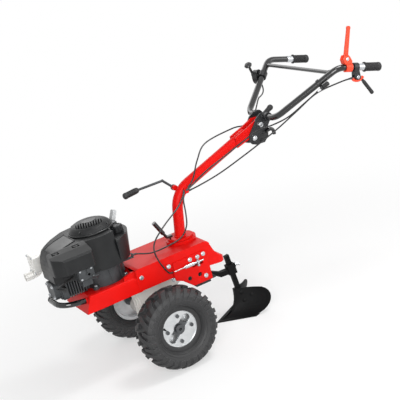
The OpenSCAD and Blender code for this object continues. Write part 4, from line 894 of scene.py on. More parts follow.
@dataclass
class Engine:
    """Vertical-shaft petrol engine on the front deck.

    Attributes:
        crank: X of the crankshaft.
        dome_top: Height of the starter cover over the deck.
        panel_x: Front and back of the bare panel on the housing's slope.
        panel_y: Half width of that panel.
        carb_face: Y of the carburettor's outer face.
        slots: Number of slats between the starter cover's slots.
        slot_pitch: Distance from slot to slot.
        slot_reach: Radius that the slots reach to.
        slot_turn: Turn of the slots about the crankshaft, in degrees.
        cover_screws: Circle radius of the starter cover's screws and their height over the deck.
        rocker_x: X of the rocker cover's front face.
        shield_x: X of the muffler shield's front face.
        pipe: Middle of the muffler pipe's band, with its height over the deck.
        knob_x: X of each wing knob on the filter cover.
        knob_seat: Y of these knobs and the height of their seats over the deck.
        arm: X of the throttle arm's pivot and its height over the deck.
    """

    crank: float = -150.0
    dome_top: float = 251.0
    panel_x: tuple[float, float] = (-338.0, -240.0)
    panel_y: float = 60.0
    carb_face: float = -176.0
    slots: int = 10
    slot_pitch: float = 10.0
    slot_reach: float = 66.0
    slot_turn: float = -20.0
    cover_screws: tuple[float, float] = (79.0, 232.5)
    rocker_x: float = -372.2
    shield_x: float = -382.2
    pipe: Point = (-374.0, 150.0, 78.0)
    knob_x: tuple[float, float] = (-352.0, -268.0)
    knob_seat: tuple[float, float] = (-134.0, 212.0)
    arm: tuple[float, float] = (-262.0, 112.0)

    def dress(self) -> None:
        """Gives the engine's solids their finishes."""
        dress(ENGINE_PLASTIC, "blower_housing", "starter_cover", "fuel_tank", "air_filter_cover", "fuel_cap")
        dress(DARK_ALLOY, "engine_crankcase", "cylinder_block", "carburettor")
        dress(MUFFLER_STEEL, "muffler")
        dress(GREY_NYLON, "starter_grip")
        dress(GRIP_RUBBER, "spark_plug", "drive_belt")
        dress(PULLEY_STEEL, "drive_pulley", "driven_pulley", "idler_pulley")
        dress(ZINC_PLATE, "idler_arm", "clutch_rod")

    def build(self) -> None:
        """Adds what the solids leave out."""
        self._rope()
        self._panel()
        self._starter()
        self._fasteners()
        self._carburettor()
        self._cap()

    def _rope(self) -> None:
        """Draws the starter rope between its guide and the grip."""
        low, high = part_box("starter_rope")
        mid = (low + high) / 2
        ends = [Vector((mid.x, mid.y, low.z)), Vector((mid.x, mid.y, high.z))]
        line = [ends[0].lerp(ends[1], i / 12) for i in range(13)]
        rope = tube("starter_cord", [line], 2.4, PVC_SHEATH, 10)
        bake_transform(rope)
        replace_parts(rope, "starter_rope")

    def _slope(self, x: float) -> float:
        """Finds how high the housing's top is.

        Args:
            x: Where along the machine.

        Returns:
            Its height over the deck.
        """
        known = [(-360.0, 152.0), (-354.0, 165.0), (-344.0, 179.0), (-330.0, 189.5), (-311.0, 197.5),
                 (-288.0, 204.0), (-240.0, 214.0), (-100.0, 214.0)]
        for (a, low), (b, high) in zip(known, known[1:]):
            if a <= x <= b:
                return low + (high - low) * (x - a) / (b - a)
        return known[-1][1]

    def _slab(self, shape: Shape, x: tuple[float, float], y: tuple[float, float], rise: float) -> None:
        """Lays a slab on the housing's slope.

        Args:
            shape: Gets the slab.
            x: Its front and back.
            y: Its sides.
            rise: Its height over the slope.
        """
        steps = 14
        rings = []
        for i in range(steps + 1):
            at = x[0] + (x[1] - x[0]) * i / steps
            low, top = DECK + self._slope(at) - 2.5, DECK + self._slope(at) + rise
            rings.append([Vector((at, y[0], low)), Vector((at, y[1], low)), Vector((at, y[1] - 0.6, top)),
                          Vector((at, y[0] + 0.6, top))])
        shape.skin(rings)

    def _panel(self) -> None:
        """Lays the bare panel and its raised border on the housing's slope."""
        plate, border = Shape(), Shape()
        front, back = self.panel_x
        half, rim = self.panel_y, 5.0
        self._slab(plate, (front + rim, back - rim), (rim - half, half - rim), 0.9)
        for side in (-1, 1):
            edge = sorted((side * half, side * (half - rim)))
            self._slab(border, (front, back), (edge[0], edge[1]), 2.4)
        for x in ((front, front + rim), (back - rim, back)):
            self._slab(border, x, (-half, half), 2.4)
        plate.piece("housing_bare_panel", "chassis", "black_plastic", CONTROL_NYLON)
        border.piece("housing_panel_border", "chassis", "black_plastic", ENGINE_PLASTIC)

    def _starter(self) -> None:
        """Adds the starter dome's bare disc, the ring round its foot, a dark screen under it as painted shade
        behind the slots, and its slats.
        """
        shape = Shape()
        top = DECK + self.dome_top
        # A dark screen 35 mm under the dome's top, painted shade: it darkens what shows through the slots.
        shape.turned([(1.0, -35.0), (80.0, -35.0), (80.0, -33.5), (1.0, -33.5)], (self.crank, 0, top),
                     (0, 0, 1), 64)
        shape.turned([(30.0, -1.5), (30.0, 1.0), (28.6, 2.2), (25.0, 2.2), (24.0, 1.2), (2.0, 1.2)],
                     (self.crank, 0, top), (0, 0, 1), 64)
        foot = [(87.0, -34.0), (90.5, -34.0), (90.5, -31.0), (88.5, -29.0), (86.3, -29.0)]
        shape.turned(foot, (self.crank, 0, top), (0, 0, 1), 96, closed=True)
        shape.piece("starter_disc_foot_and_shade_screen", "chassis", "black_plastic", CONTROL_NYLON)
        turn = Matrix.Rotation(math.radians(self.slot_turn), 3, "Z")
        slats = Shape()
        for i in range(1 - self.slots, self.slots, 2):
            x = self.slot_pitch * i / 2
            reach = math.sqrt((self.slot_reach - 2) ** 2 - x * x)
            spots = [turn @ Vector((x, -14 - (reach - 14) * j / 9, 0)) for j in range(10)]
            line = [touch("starter_cover", (self.crank + p.x, p.y, top + 40), (0, 0, -1))[0] for p in spots]
            slats.bar([tuple(p) for p in line], 2.4, 1.5, tuple(turn @ Vector((1, 0, 0))), 10)
        slats.piece("starter_slats", "chassis", "black_plastic", ENGINE_PLASTIC)

    def _fasteners(self) -> None:
        """Sets the screws of the rocker cover, the starter cover, the filter and the muffler."""
        rocker = [((self.rocker_x, y, DECK + z), (-1, 0, 0)) for y in (-30, 30) for z in (18, 64)]
        turns = [math.radians(d) for d in (40, 130, 220, 310)]
        radius, high = self.cover_screws
        cover = [((self.crank + radius * math.cos(a), radius * math.sin(a), DECK + high),
                  (0.55 * math.cos(a), 0.55 * math.sin(a), 1)) for a in turns]
        bolts("rocker_cover_bolts", "chassis", rocker, 5.0, 4.5, ZINC_PLATE)
        bolts("engine_cover_screws", "chassis", cover, 4.0, 3.0, CONTROL_NYLON)
        shield = [((self.shield_x, y, DECK + z), (-1, 0, 0)) for y in (107, 161) for z in (94, 158)]
        bolts("muffler_shield_screws", "chassis", shield, 4.0, 3.0, ZINC_PLATE)
        band = Shape()
        x, y, high = self.pipe
        band.turned(ring_profile(13.6, 15.4, -3.0, 3.0), (x, y, DECK + high), (1, 0, 0), 32, closed=True)
        band.piece("muffler_pipe_band", "chassis", "muffler_steel", MUFFLER_STEEL)
        knobs = Shape()
        y, high = self.knob_seat
        for x in self.knob_x:
            stud, vane = (x, y, DECK + high), (x, y, DECK + high + 1)
            knobs.turned([(6.5, -2.0), (6.5, 5.0), (5.0, 6.4), (1.0, 6.4)], stud, (0, 0, 1), 24)
            knobs.prism([(-11, -2), (11, -2), (11, 2), (-11, 2)], vane, (0, 0, 1), (1, 0, 0), 7.0)
        knobs.piece("filter_wing_knobs", "chassis", "black_plastic", CONTROL_NYLON)

    def _carburettor(self) -> None:
        """Adds the carburettor's screws, arm, link rod and spring."""
        face = self.carb_face
        screws = [((x, face, DECK + z), (0, -1, 0)) for z in (130, 98) for x in (-292, -246)]
        bolts("carburettor_screws", "chassis", screws, 2.6, 2.4, ZINC_PLATE)
        arm = Shape()
        x, high = self.arm
        pivot = (x, face - 3.5, DECK + high)
        arm.prism([(-5, -5), (5, -5), (4, 22), (-4, 22)], pivot, (0, -1, 0), (1, 0, 0), 2.5)
        arm.turned([(7, 0), (7, 4), (5, 5.5), (1, 5.5)], (x, face - 0.5, DECK + high), (0, -1, 0), 20)
        arm.piece("throttle_arm", "chassis", "zinc_steel", DARK_ALLOY)
        tail = (x, face - 5, DECK + high - 20)
        hook = (-196, -121, DECK + 84)
        rod = smooth_route([tail, (-240, face - 2, DECK + 86), (-214, -148, DECK + 82), hook])
        turns, reach, coil_r = 14, 34.0, 3.6
        start, along = Vector((-250, face - 9, DECK + 100)), Vector((0.78, 0.55, -0.28)).normalized()
        side = along.orthogonal().normalized()
        other = along.cross(side)
        coil = []
        for i in range(turns * 10 + 1):
            a = math.tau * i / 10
            away = side * math.cos(a) + other * math.sin(a)
            coil.append(to_row(start + along * reach * i / (turns * 10) + coil_r * away))
        carry(tube("carburettor_link_rod", [rod], 1.3, DARK_ALLOY, 8), "chassis")
        carry(tube("governor_spring", [coil], 0.7, DARK_ALLOY, 6), "chassis")

    def _cap(self) -> None:
        """Sets a raised rim and a bare disc on the fuel cap."""
        low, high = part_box("fuel_cap")
        mid = from_axle((low + high) / 2)
        shape = Shape()
        shape.turned([(21.0, -1.0), (21.0, 1.2), (19.0, 2.2), (16.0, 2.2), (15.0, 0.8), (2.0, 0.8)],
                     (mid.x, mid.y, high.z / MM), (0, 0, 1), 48)
        shape.piece("fuel_cap_rim", "cap", "black_plastic", CONTROL_NYLON)


@dataclass
class Body:
    """Frame, hood, plates, gearbox, column and hitch.

    Attributes:
        column_foot: X of the column's foot flange and the height of its top over the deck.
        column_r: Radius of the column tube.
        column_lean: Backward lean of the column's foot, in degrees.
        axle_z: Height of the axle.
        flange: Bolt circle radius and half width of the gearbox over its axle flanges.
        hitch_clip: X and height of the hole at the hitch pin's foot.
        bumper_root: X, half distance and height over the deck of the bumper's roots.
        plug: X, half distance and height over the deck of the gearbox's plugs.
        knob: Root of the gear lever's grip, with its height over the deck.
        knob_way: Direction of that grip.
    """

    column_foot: tuple[float, float] = (205.0, 48.7)
    column_r: float = 22.0
    column_lean: float = 10.3
    axle_z: float = 165.0
    flange: tuple[float, float] = (36.0, 60.0)
    hitch_clip: tuple[float, float] = (250.0, DECK - 179.5)
    bumper_root: Point = (-273.5, 80.0, -21.6)
    plug: Point = (110.0, 50.0, -96.0)
    knob: Point = (100.0, 48.0, 278.0)
    knob_way: Point = (-64.0, 0.0, -6.0)

    def dress(self) -> None:
        """Gives the body's solids their finishes."""
        dress(RED_ENAMEL, "main_frame", "belt_hood", "left_side_plate", "right_side_plate", "swivel_base",
              "column_tube")
        dress(SILVER_CASTING, "gearbox_case")
        dress(BLACK_ENAMEL, "front_bumper", "swivel_lock_lever")
        dress(BLACK_PLATE, "hitch_bracket")
        dress(ZINC_PLATE, "frame_screws", "hitch_pin")
        dress(DARK_ALLOY, "gear_lever")

    def build(self) -> None:
        """Adds welds, gearbox bolts, the gear lever's grip and the hitch pin's clip."""
        x, top = self.column_foot
        lean = math.radians(self.column_lean)
        foot = circle((x + 1.2, 0, DECK + top + 0.4), (math.sin(lean) * 0.4, 0, 1), self.column_r + 1.2)
        fork = [smooth_route([(542, y, DECK + 346), (570, y, DECK + 356), (598, y, DECK + 366)])
                for y in (-15.5, 15.5)]
        welds("column_welds", "column", [foot, *fork], RED_ENAMEL, 3.0)
        x, out, high = self.bumper_root
        roots = [circle((x, s * out, DECK + high), (-0.99, 0, 0.14), 12.2) for s in (-1, 1)]
        welds("bumper_welds", "chassis", roots, RED_ENAMEL, 2.6)
        bolt_r, half = self.flange
        flange = [((bolt_r * math.cos(a), s * half, self.axle_z + bolt_r * math.sin(a)), (0, s, 0))
                  for s in (-1, 1) for a in (math.radians(30 + 60 * i) for i in range(6))]
        bolts("gearbox_flange_bolts", "chassis", flange, 5.2, 4.6, ZINC_PLATE)
        x, out, high = self.plug
        plugs = [((x, s * out, DECK + high), (0, s, 0)) for s in (-1, 1)]
        bolts("gearbox_plugs", "chassis", plugs, 8.0, 5.5, ZINC_PLATE)
        grip = Shape()
        x, y, high = self.knob
        grip.turned([(6.0, -3.0), (9.4, -1.0), (11.6, 4.0), (12.6, 10.0), *ribs(12.0, 50.0, 9, 12.8, 11.8),
                     (13.4, 53.0), (13.6, 58.0), (11.6, 64.0), (7.0, 66.8), (1.0, 67.4)],
                    (x, y, DECK + high), self.knob_way, 32)
        grip.piece("gear_lever_grip", "shifter", "black_plastic", GRIP_RUBBER)
        at, low = self.hitch_clip
        bends = ((0, 26, -2), (0, 14, 0), (0, -14, 0), (0, -24, 4), (0, -27, 11), (0, -22, 16), (3, -11, 11),
                 (10.5, 0, 7), (6, 12, 9), (3, 22, 12))
        clip = [(at + x, y, low + z) for x, y, z in bends]
        carry(tube("hitch_pin_clip", [smooth_route(clip, 6)], 1.5, ZINC_PLATE, 8), "chassis")


@dataclass
class Wheels:
    """Axle, pressed rims and lugged tyres.

    Attributes:
        axle_z: Height of the axle.
        wheel_y: Distance of each wheel's mid-plane from the machine's.
        rim_half: Half width of a rim.
        flange_r: Radius over a rim's flange.
        disc_y: Distance of a disc's outer face from the machine's mid-plane.
        sidewall: Radius and distance from the wheel's mid-plane of each moulded ring.
        fillet_r: Radius of the fillet where the disc meets the rim's barrel.
        plate: Profile of the dished plate behind the disc, out from the mid-plane.
        lip: Profile of the tyre's bead lip over the rim's flange, out from the mid-plane.
        valve: Profile of a valve stem, out from the disc.
        valve_at: Radius and turn in degrees of a valve stem.
    """

    axle_z: float = 165.0
    wheel_y: float = 228.0
    rim_half: float = 28.0
    flange_r: float = 83.0
    disc_y: float = 252.0
    sidewall: tuple[tuple[float, float], ...] = ((96.7, 47.7), (106.1, 55.9))
    fillet_r: float = 71.6
    plate: tuple[tuple[float, float], ...] = ((25.0, -2.0), (71.8, 1.0), (71.8, 3.0), (25.0, 0.0))
    lip: tuple[tuple[float, float], ...] = (
        (72.4, 28.1), (90.0, 28.1), (90.0, 33.0), (86.0, 32.8), (79.0, 31.6), (74.0, 30.6), (72.4, 29.6))
    valve: tuple[tuple[float, float], ...] = (
        (4.6, 0.0), (4.6, 3.0), (3.2, 4.6), (3.2, 12.0), (2.6, 13.0), (2.6, 18.0), (1.8, 19.0))
    valve_at: tuple[float, float] = (65.0, 160.0)

    def dress(self) -> None:
        """Gives the wheels' solids their finishes."""
        dress(TYRE_RUBBER, "left_tyre", "right_tyre")
        dress(GALVANISED, "left_rim", "right_rim")
        dress(AXLE_STEEL, "axle_shaft", "axle_gear", "wheel_bolts")

    def build(self) -> None:
        """Adds rim fillets, back plates, valve stems, and the bead lips and moulded rings of the tyres."""
        steel, rubber, valves = Shape(), Shape(), Shape()
        for side in (-1, 1):
            middle = (0, side * self.wheel_y, self.axle_z)
            self._hoop(steel, self.flange_r - 0.6, side * (self.wheel_y - self.rim_half + 0.6), 2.4)
            self._hoop(steel, self.fillet_r, side * (self.disc_y - 0.6), 2.6)
            steel.turned(list(self.plate), middle, (0, side, 0), 96, closed=True)
            rubber.turned(list(self.lip), middle, (0, side, 0), 96, closed=True)
            for radius, out in self.sidewall:
                for face in (-1, 1):
                    self._hoop(rubber, radius, side * self.wheel_y + face * out, 1.7)
            reach, turn = self.valve_at[0], math.radians(self.valve_at[1])
            stem = (reach * math.cos(turn), side * (self.disc_y - 1), self.axle_z + reach * math.sin(turn))
            valves.turned(list(self.valve), stem, (0, side, 0), 20)
        steel.piece("rim_fillets_and_back_plates", "wheels", "rim_steel", GALVANISED)
        rubber.piece("tyre_bead_lips_and_rings", "wheels", "tyre_rubber", TYRE_RUBBER)
        valves.piece("valve_stems", "wheels", "soft_rubber", GRIP_RUBBER)

    def _hoop(self, shape: Shape, radius: float, y: float, thick: float) -> None:
        """Adds a round hoop about the axle.

        Args:
            shape: Gets the hoop.
            radius: Its middle radius.
            y: Where it lies along the axle.
            thick: Radius of its section.
        """
        shape.turned(round_profile(radius, 0.0, thick), (0, y, self.axle_z), (0, 1, 0), 96, closed=True)


@dataclass
class Handlebar:
    """Handle tubes, grips and hand controls.

    Attributes:
        half: Half of the width over the grips.
        end: X and height over the deck of a tube's end.
        run: Direction of the straight run that carries a grip.
        rise: Direction of the left tube's rise.
        adjuster: End of the reverse cable under the left tube.
        thumb: Middle of the throttle drum's seat on the right tube.
        down: The drum's direction along its cable outlet.
        out: Its outward direction.
        run_across: X and height over the deck of the tubes where they cross the tilt head.
        knee_y: Distance from the mid-plane at which a tube turns up from there.
        reverse_lever: X and height over the deck of the reverse lever's pivot and top.
        clutch_pivot: X and height over the deck of the clutch lever's pivot.
        clutch_lever: X and height over the deck of its knee and tip.
        tilt_lever: X and height over the deck of the tilt lever's grip at its root and tip.
        tilt_pivot: X and height over the deck of the tilt pivot.
        cheek_y: Distance of the tilt bracket's outer faces from the mid-plane.
        cross_end: X, half distance and height over the deck of the cross bar's ends.
    """

    half: float = 272.0
    end: tuple[float, float] = (1118.0, 490.0)
    run: Point = (0.961, 0.0, -0.2775)
    rise: Point = (0.7326, -0.5039, 0.4575)
    adjuster: Point = (848.0, -232.0, 474.0)
    thumb: Point = (859.9, 223.1, 499.6)
    down: Point = (0.377, 0.2593, -0.8892)
    out: Point = (-0.5667, 0.8239, 0.0)
    run_across: tuple[float, float] = (694.0, 396.0)
    knee_y: float = 109.0
    reverse_lever: tuple[tuple[float, float], ...] = ((973.0, 567.0), (1015.0, 681.0))
    clutch_pivot: tuple[float, float] = (1006.0, 482.0)
    clutch_lever: tuple[tuple[float, float], ...] = ((1028.0, 466.0), (1062.0, 400.0))
    tilt_lever: tuple[tuple[float, float], ...] = ((686.0, 385.6), (740.0, 415.0))
    tilt_pivot: tuple[float, float] = (622.0, 326.0)
    cheek_y: float = 31.5
    cross_end: Point = (907.3, 242.0, 529.2)

    def dress(self) -> None:
        """Gives the handlebar's solids their finishes."""
        dress(BLACK_ENAMEL, "left_handle_tube", "right_handle_tube", "cross_bar")
        dress(BLACK_PLATE, "tilt_bracket", "tilt_lock_lever")
        dress(GRIP_RUBBER, "left_grip", "right_grip")
        dress(ORANGE_ACETAL, "lever_bracket", "reverse_lever")
        dress(CONTROL_NYLON, "clutch_bracket", "clutch_lever", "throttle_box", "throttle_lever")
        dress(BRIGHT_PLATE, "pivot_bolt")

    def build(self) -> None:
        """Adds grips, sleeves, the clutch catch, the adjuster, trims, bolts and welds."""
        self._grips()
        self._clutch()
        self._adjuster()
        self._throttle()
        self._tilt_head()
        self._welds()

    def _grips(self) -> None:
        """Moulds the two ribbed grips and puts a plated sleeve inboard of each."""
        sleeves = Shape()
        profile = [(13.15, -72.0), (19.0, -72.0), (20.0, -71.0), (20.0, -68.5), (18.0, -67.0),
                   *ribs(-66.0, -10.0, 14, 17.4, 16.0), (17.6, -8.0), (18.2, -3.0), (17.0, 3.0), (13.0, 6.4),
                   (8.0, 7.4), (2.2, 7.6), (2.2, 0.6), (13.15, 0.6)]
        for side, name in ((-1, "left_grip"), (1, "right_grip")):
            tip = (self.end[0], side * self.half, DECK + self.end[1])
            grip = Shape()
            grip.turned(profile, tip, self.run, 40, closed=True)
            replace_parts(grip.piece(name + "_moulded", "handlebar", "soft_rubber", GRIP_RUBBER), name)
            sleeves.turned(ring_profile(13.1, 14.2, -101.0, -72.4, 0.5), tip, self.run, 40, closed=True)
        sleeves.piece("grip_sleeves", "handlebar", "zinc_steel", ZINC_PLATE)

    def _clutch(self) -> None:
        """Adds the catch round the clutch lever's root and the pivot screws of both levers."""
        y = -self.half
        catch = Shape()
        line = [(986, 480), (990, 474), (999, 468.5), (1010, 466), (1020, 467), (1029, 470.5), (1035, 475)]
        catch.bar([(x, y, DECK + z) for x, z in line], 6.8, 6.2, (0, 1, 0), 20)
        catch.piece("clutch_catch", "clutch_hand", "red_paint", ORANGE_ACETAL)
        pivots = ((self.reverse_lever[0], 15.2), (self.clutch_pivot, 13.2))
        screws = [((x, y + s * out, DECK + z), (0, s, 0)) for (x, z), out in pivots for s in (-1, 1)]
        bolts("lever_pivot_screws", "handlebar", screws, 5.0, 3.4, ZINC_PLATE)
        tip = Shape()
        knee, end = (Vector((x, y, DECK + z)) for x, z in self.clutch_lever)
        reach = (end - knee).length
        tip.turned([(6.2, 12.0), (7.4, 14.0), *ribs(16.0, reach - 8.0, 8, 7.8, 7.0), (8.4, reach - 4.0),
                    (7.6, reach + 4.0), (4.0, reach + 7.0), (1.0, reach + 7.6)], knee, end - knee, 24)
        tip.piece("clutch_lever_sleeve", "clutch_hand", "soft_rubber", GRIP_RUBBER)
        pad = Shape()
        foot, top = (Vector((x, y, DECK + z)) for x, z in self.reverse_lever)
        ahead = (top - foot).normalized()
        for s in (-1, 1):
            pad.bar([foot + ahead * h + Vector((0, s * 4.4, 0)) for h in (22, 24, 60, 100, 112, 114)], 0.9, 4.4,
                    (0, 1, 0), 12)
        pad.piece("reverse_lever_ribs", "reverse_hand", "red_paint", ORANGE_ACETAL)

    def _adjuster(self) -> None:
        """Hangs the reverse cable's adjuster in a saddle under the left tube."""
        x, y, z = self.adjuster
        base, way = Vector((x, y, DECK + z)), Vector(self.rise)
        white, knob, saddle = Shape(), Shape(), Shape()
        white.turned([(3.3, -7.0), (4.4, -5.0), (4.8, 4.0), (5.2, 9.0), (4.0, 10.0)], base, way, 20)
        knob.turned([(4.4, 9.0), (6.6, 10.0), (6.6, 20.0), (9.0, 21.5), *ribs(22.0, 44.0, 6, 9.6, 8.8),
                     (9.2, 45.5), (6.0, 49.0), (1.0, 50.0)], base, way, 28)
        saddle.turned(ring_profile(6.5, 10.0, 11.0, 19.0), base, way, 28, closed=True)
        knee = Vector((self.run_across[0], -self.knee_y, DECK + self.run_across[1]))
        share = (base + 15 * way.normalized() - knee).dot(way.normalized())
        seat = knee + share * way.normalized()
        saddle.turned(ring_profile(13.1, 16.0, -6.0, 6.0), seat, way, 36, closed=True)
        white.piece("adjuster_ferrule", "handlebar", "black_plastic", WHITE_NYLON)
        knob.piece("adjuster_knob", "handlebar", "black_plastic", CONTROL_NYLON)
        saddle.piece("adjuster_saddle", "handlebar", "black_plastic", CONTROL_NYLON)

    def _throttle(self) -> None:
        """Adds the lips and the screws of the throttle drum."""
        seat = Vector((self.thumb[0], self.thumb[1], DECK + self.thumb[2]))
        down, out = Vector(self.down), Vector(self.out)
        middle = seat + 4 * down
        lips = Shape()
        for y in (17.2, 36.8):
            lips.turned(round_profile(29.4, y, 1.3), middle, out, 64, closed=True)
        lips.turned([(16.0, 36.5), (16.0, 37.4), (15.0, 38.0), (2.0, 38.0)], middle + 10 * down, out, 40)
        lips.piece("throttle_drum_lips", "handlebar", "black_plastic", CONTROL_NYLON)
        across = down.cross(out)
        screws = [(tuple(middle + 37 * out + 22 * (down * math.cos(a) + across * math.sin(a))), self.out)
                  for a in (math.radians(d) for d in (-40, 40))]
        bolts("throttle_drum_screws", "handlebar", screws, 2.6, 1.8, ZINC_PLATE)

    def _tilt_head(self) -> None:
        """Adds the tilt lever's grip, the round hook, the toothed plate and the cheek bolts."""
        grip = Shape()
        root, tip = (Vector((x, 0, DECK + z)) for x, z in self.tilt_lever)
        reach = (tip - root).length
        grip.turned([(8.3, 0.0), (10.4, 2.0), *ribs(4.0, reach - 8.0, 10, 11.0, 10.2), (12.0, reach - 5.0),
                     (12.4, reach + 2.0), (9.5, reach + 9.0), (5.0, reach + 11.6), (1.0, reach + 12.0)], root,
                    tip - root, 28)
        grip.piece("tilt_lever_grip", "tilt_lock", "soft_rubber", GRIP_RUBBER)
        hook = smooth_route([(678, -35, DECK + 336), (690, -35, DECK + 339), (701, -35, DECK + 339.5),
                             (709, -35, DECK + 334), (712.5, -35, DECK + 325), (713, -35, DECK + 313)], 6)
        carry(tube("tilt_hook_bar", [hook], 7.6, BLACK_ENAMEL, 20), "handlebar")
        teeth = Shape()
        count = 14
        outline = []
        for i in range(count):
            for share, r in ((0.0, 8.4), (0.28, 8.4), (0.42, 10.8), (0.72, 10.8)):
                a = math.tau * (i + share) / count
                outline.append((r * math.cos(a), r * math.sin(a)))
        hub = (self.tilt_pivot[0], -self.cheek_y - 0.1, DECK + self.tilt_pivot[1])
        teeth.prism(outline, hub, (0, -1, 0), (1, 0, 0), 4.5)
        teeth.turned([(5.6, 4.0), (5.6, 7.4), (4.6, 8.4), (1.0, 8.4)], hub, (0, -1, 0), 6)
        teeth.piece("tilt_toothed_plate", "handlebar", "zinc_steel", BRIGHT_PLATE)
        spots = ((652, 306), (668, 334))
        cheek = [((x, s * self.cheek_y, DECK + z), (0, s, 0)) for s in (-1, 1) for x, z in spots]
        bolts("tilt_cheek_bolts", "handlebar", cheek, 6.0, 4.4, BLACK_PLATE)

    def _welds(self) -> None:
        """Lays the welds of the sockets and the cross bar."""
        x, high = self.run_across
        seams = [circle((x, s * 32.2, DECK + high), (0, 1, 0), 19.0) for s in (-1, 1)]
        x, y, high = self.cross_end
        seams += [circle((x, s * y, DECK + high), (0, 1, 0), 8.8, 28) for s in (-1, 1)]
        welds("handlebar_welds", "handlebar", seams, BLACK_PLATE, 2.3)


@dataclass
class Ridger:
    """Drawbar, shank, wings and point of the ridger.

    Attributes:
        bolt_spots: X and height over the ground of the plough bolts on each wing.
        sleeve: X and half width of the drawbar's sleeve where it is welded.
    """

    bolt_spots: tuple[tuple[float, float], ...] = ((396.0, 92.0), (398.0, 58.0), (430.0, 76.0))
    sleeve: tuple[float, float] = (371.0, 12.8)

    def dress(self) -> None:
        """Gives the ridger's solids their finishes."""
        dress(SOIL_ENAMEL, "drawbar", "shank", "left_wing", "right_wing", "share_point")
        dress(BRIGHT_PLATE, "clamp_bolt")

    def build(self) -> None:
        """Sets flush plough bolts in the wings and the weld of the drawbar's sleeve."""
        heads = Shape()
        for side, node in ((-1, "left_wing"), (1, "right_wing")):
            for x, z in self.bolt_spots:
                place, normal = touch(node, (x, side * 260, z), (0, -side, 0))
                heads.turned([(8.4, -1.2), (8.4, 0.5), (6.4, 1.5), (1.0, 1.9)], tuple(place), tuple(normal), 24)
        heads.piece("plough_bolt_heads", "ridger", "soil_black", SOIL_ENAMEL)
        x, half = self.sleeve
        seam = [smooth_route([(x + 0.5, y, DECK - 167.5), (x, y, DECK - 179), (x, y, DECK - 190.5)])
                for y in (-half, half)]
        seam.append(smooth_route([(x, -half, DECK - 167), (x + 0.2, 0, DECK - 166.8), (x, half, DECK - 167)]))
        welds("drawbar_sleeve_welds", "hitch_arm", seam, SOIL_ENAMEL, 2.6)


@dataclass(frozen=True)
class SoftBox:
    """One studio lamp.

    Attributes:
        name: Its name.
        place: Where it hangs, in metres.
        size: Its side, in metres.
        power: Its power in watts.
    """

    name: str
    place: Point
    size: float
    power: float


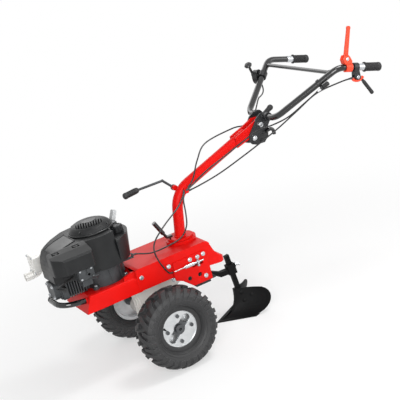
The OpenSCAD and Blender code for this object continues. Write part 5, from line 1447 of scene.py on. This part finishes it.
@dataclass
class Studio:
    """Camera, lights and floor.

    Attributes:
        eye: Where the camera stands.
        yaw: Heading from +Y towards +X, in degrees.
        pitch: Degrees that the camera looks down.
        roll: Degrees that the picture is turned.
        focal_px: Focal length in pixels of the picture.
        aim: What the lamps point at, in metres.
        lamps: The lamps.
        sky: Strength of the white round the object, as a lamp.
        floor_r: Radius of the floor, in metres.
        floor_z: Height of the floor, in metres: a hair under the tyres.
        fade: Where the floor starts to fade into white and where it has faded, in metres.
        glow: Share of white at these two places.
    """

    eye: Point = (-1451, -4096, 1932)
    yaw: float = 23.5
    pitch: float = 17.4
    roll: float = -14.7
    focal_px: float = 1154.0
    aim: Point = (-0.05, 0.0, 0.45)
    lamps: tuple[SoftBox, ...] = (
        SoftBox("key_soft_box", (-2.0, -3.8, 1.9), 2.2, 150.0),
        SoftBox("fill_soft_box", (3.0, -2.6, 1.7), 2.6, 46.0),
        SoftBox("rim_soft_box", (0.2, 3.2, 3.0), 2.6, 30.0),
        SoftBox("top_soft_box", (0.9, -0.9, 3.1), 0.9, 34.0),
    )
    sky: float = 0.36
    floor_r: float = 14.0
    floor_z: float = -0.0006
    fade: tuple[float, float] = (0.5, 1.9)
    glow: tuple[float, float] = (0.45, 1.0)

    def camera(self) -> None:
        """Stands the camera where the photograph was taken from."""
        yaw, pitch, roll = (math.radians(a) for a in (self.yaw, self.pitch, self.roll))
        level = Vector((math.sin(yaw), math.cos(yaw), 0))
        ahead = level * math.cos(pitch) - Vector((0, 0, math.sin(pitch)))
        right = Vector((math.cos(yaw), -math.sin(yaw), 0))
        up = right.cross(ahead)
        side = right * math.cos(roll) + up * math.sin(roll)
        top = up * math.cos(roll) - right * math.sin(roll)
        turn = Matrix((side, top, -ahead)).transposed().to_4x4()
        lens = bpy.data.cameras.new("camera")
        lens.sensor_width = SENSOR_MM
        lens.lens = self.focal_px * SENSOR_MM / PICTURE_PX
        lens.clip_end = 100.0
        made = bpy.data.objects.new("camera", lens)
        made.matrix_world = Matrix.Translation(to_row(self.eye)) @ turn
        bpy.context.scene.collection.objects.link(made)
        bpy.context.scene.camera = made

    def lights(self) -> None:
        """Hangs the lamps round the object and sets the white round it."""
        for box in self.lamps:
            lamp = bpy.data.lights.new(box.name, "AREA")
            lamp.energy, lamp.size = box.power, box.size
            made = bpy.data.objects.new(box.name, lamp)
            made.location = box.place
            made.rotation_euler = (Vector(self.aim) - Vector(box.place)).to_track_quat("-Z", "Y").to_euler()
            bpy.context.scene.collection.objects.link(made)
        world = bpy.data.worlds.new("studio_white")
        bpy.context.scene.world = world
        world.use_nodes = True
        tree = world.node_tree
        tree.nodes.clear()
        power = add(tree, "ShaderNodeMapRange", {0: self._seen(tree), 3: self.sky, 4: 1.0})
        sky = add(tree, "ShaderNodeBackground", {"Color": (1, 1, 1, 1), "Strength": power.outputs[0]})
        add(tree, "ShaderNodeOutputWorld", {"Surface": sky.outputs[0]})

    def _seen(self, tree: bpy.types.NodeTree) -> bpy.types.NodeSocket:
        """Adds the share of a ray that the camera sees, straight, mirrored or through.

        Args:
            tree: The tree that gets the nodes.

        Returns:
            The socket of that share.
        """
        ray = add(tree, "ShaderNodeLightPath")
        mirrored = add(tree, "ShaderNodeMath",
                       {0: ray.outputs["Is Camera Ray"], 1: ray.outputs["Is Glossy Ray"]}, operation="MAXIMUM")
        return add(tree, "ShaderNodeMath", {0: mirrored.outputs[0], 1: ray.outputs["Is Transmission Ray"]},
                   operation="MAXIMUM").outputs[0]

    def floor(self) -> None:
        """Lays a pale floor that fades into the white round it."""
        mesh = bpy.data.meshes.new("floor")
        sides = 64
        turns = (math.tau * i / sides for i in range(sides))
        ring = [(self.floor_r * math.cos(a), self.floor_r * math.sin(a), self.floor_z) for a in turns]
        mesh.from_pydata(ring, [], [list(range(sides))])
        made = bpy.data.objects.new("floor", mesh)
        bpy.context.scene.collection.objects.link(made)
        paint = bpy.data.materials.new("pale_studio_floor")
        paint.use_nodes = True
        tree = paint.node_tree
        tree.nodes.clear()
        where = add(tree, "ShaderNodeTexCoord").outputs["Object"]
        away = add(tree, "ShaderNodeVectorMath", {0: where, 1: (0.0, 0.0, 0.0)}, operation="DISTANCE")
        span = {0: away.outputs["Value"], 1: self.fade[0], 2: self.fade[1], 3: self.glow[0], 4: self.glow[1]}
        fade = add(tree, "ShaderNodeMapRange", span, interpolation_type="SMOOTHSTEP")
        card = add(tree, "ShaderNodeBsdfDiffuse", {"Color": linear("#F8F8F8")})
        glow = add(tree, "ShaderNodeEmission", {"Color": (1, 1, 1, 1), "Strength": 1.0})
        part = add(tree, "ShaderNodeMath", {0: fade.outputs[0], 1: self._seen(tree)}, operation="MULTIPLY")
        both = add(tree, "ShaderNodeMixShader", {0: part.outputs[0], 1: card.outputs[0], 2: glow.outputs[0]})
        add(tree, "ShaderNodeOutputMaterial", {"Surface": both.outputs[0]})
        mesh.materials.append(paint)

    def build(self) -> None:
        """Sets up the picture."""
        bpy.context.scene.view_settings.view_transform = "Standard"
        self.camera()
        self.lights()
        self.floor()


def main() -> None:
    """Builds the picture, sub-assembly by sub-assembly."""
    logging.basicConfig(level=logging.INFO, format="%(name)s: %(message)s")
    Studio().build()
    CableLoom().build()
    for part in (Engine(), Body(), Wheels(), Handlebar(), Ridger()):
        part.dress()
        part.build()


if __name__ == "__main__":
    main()
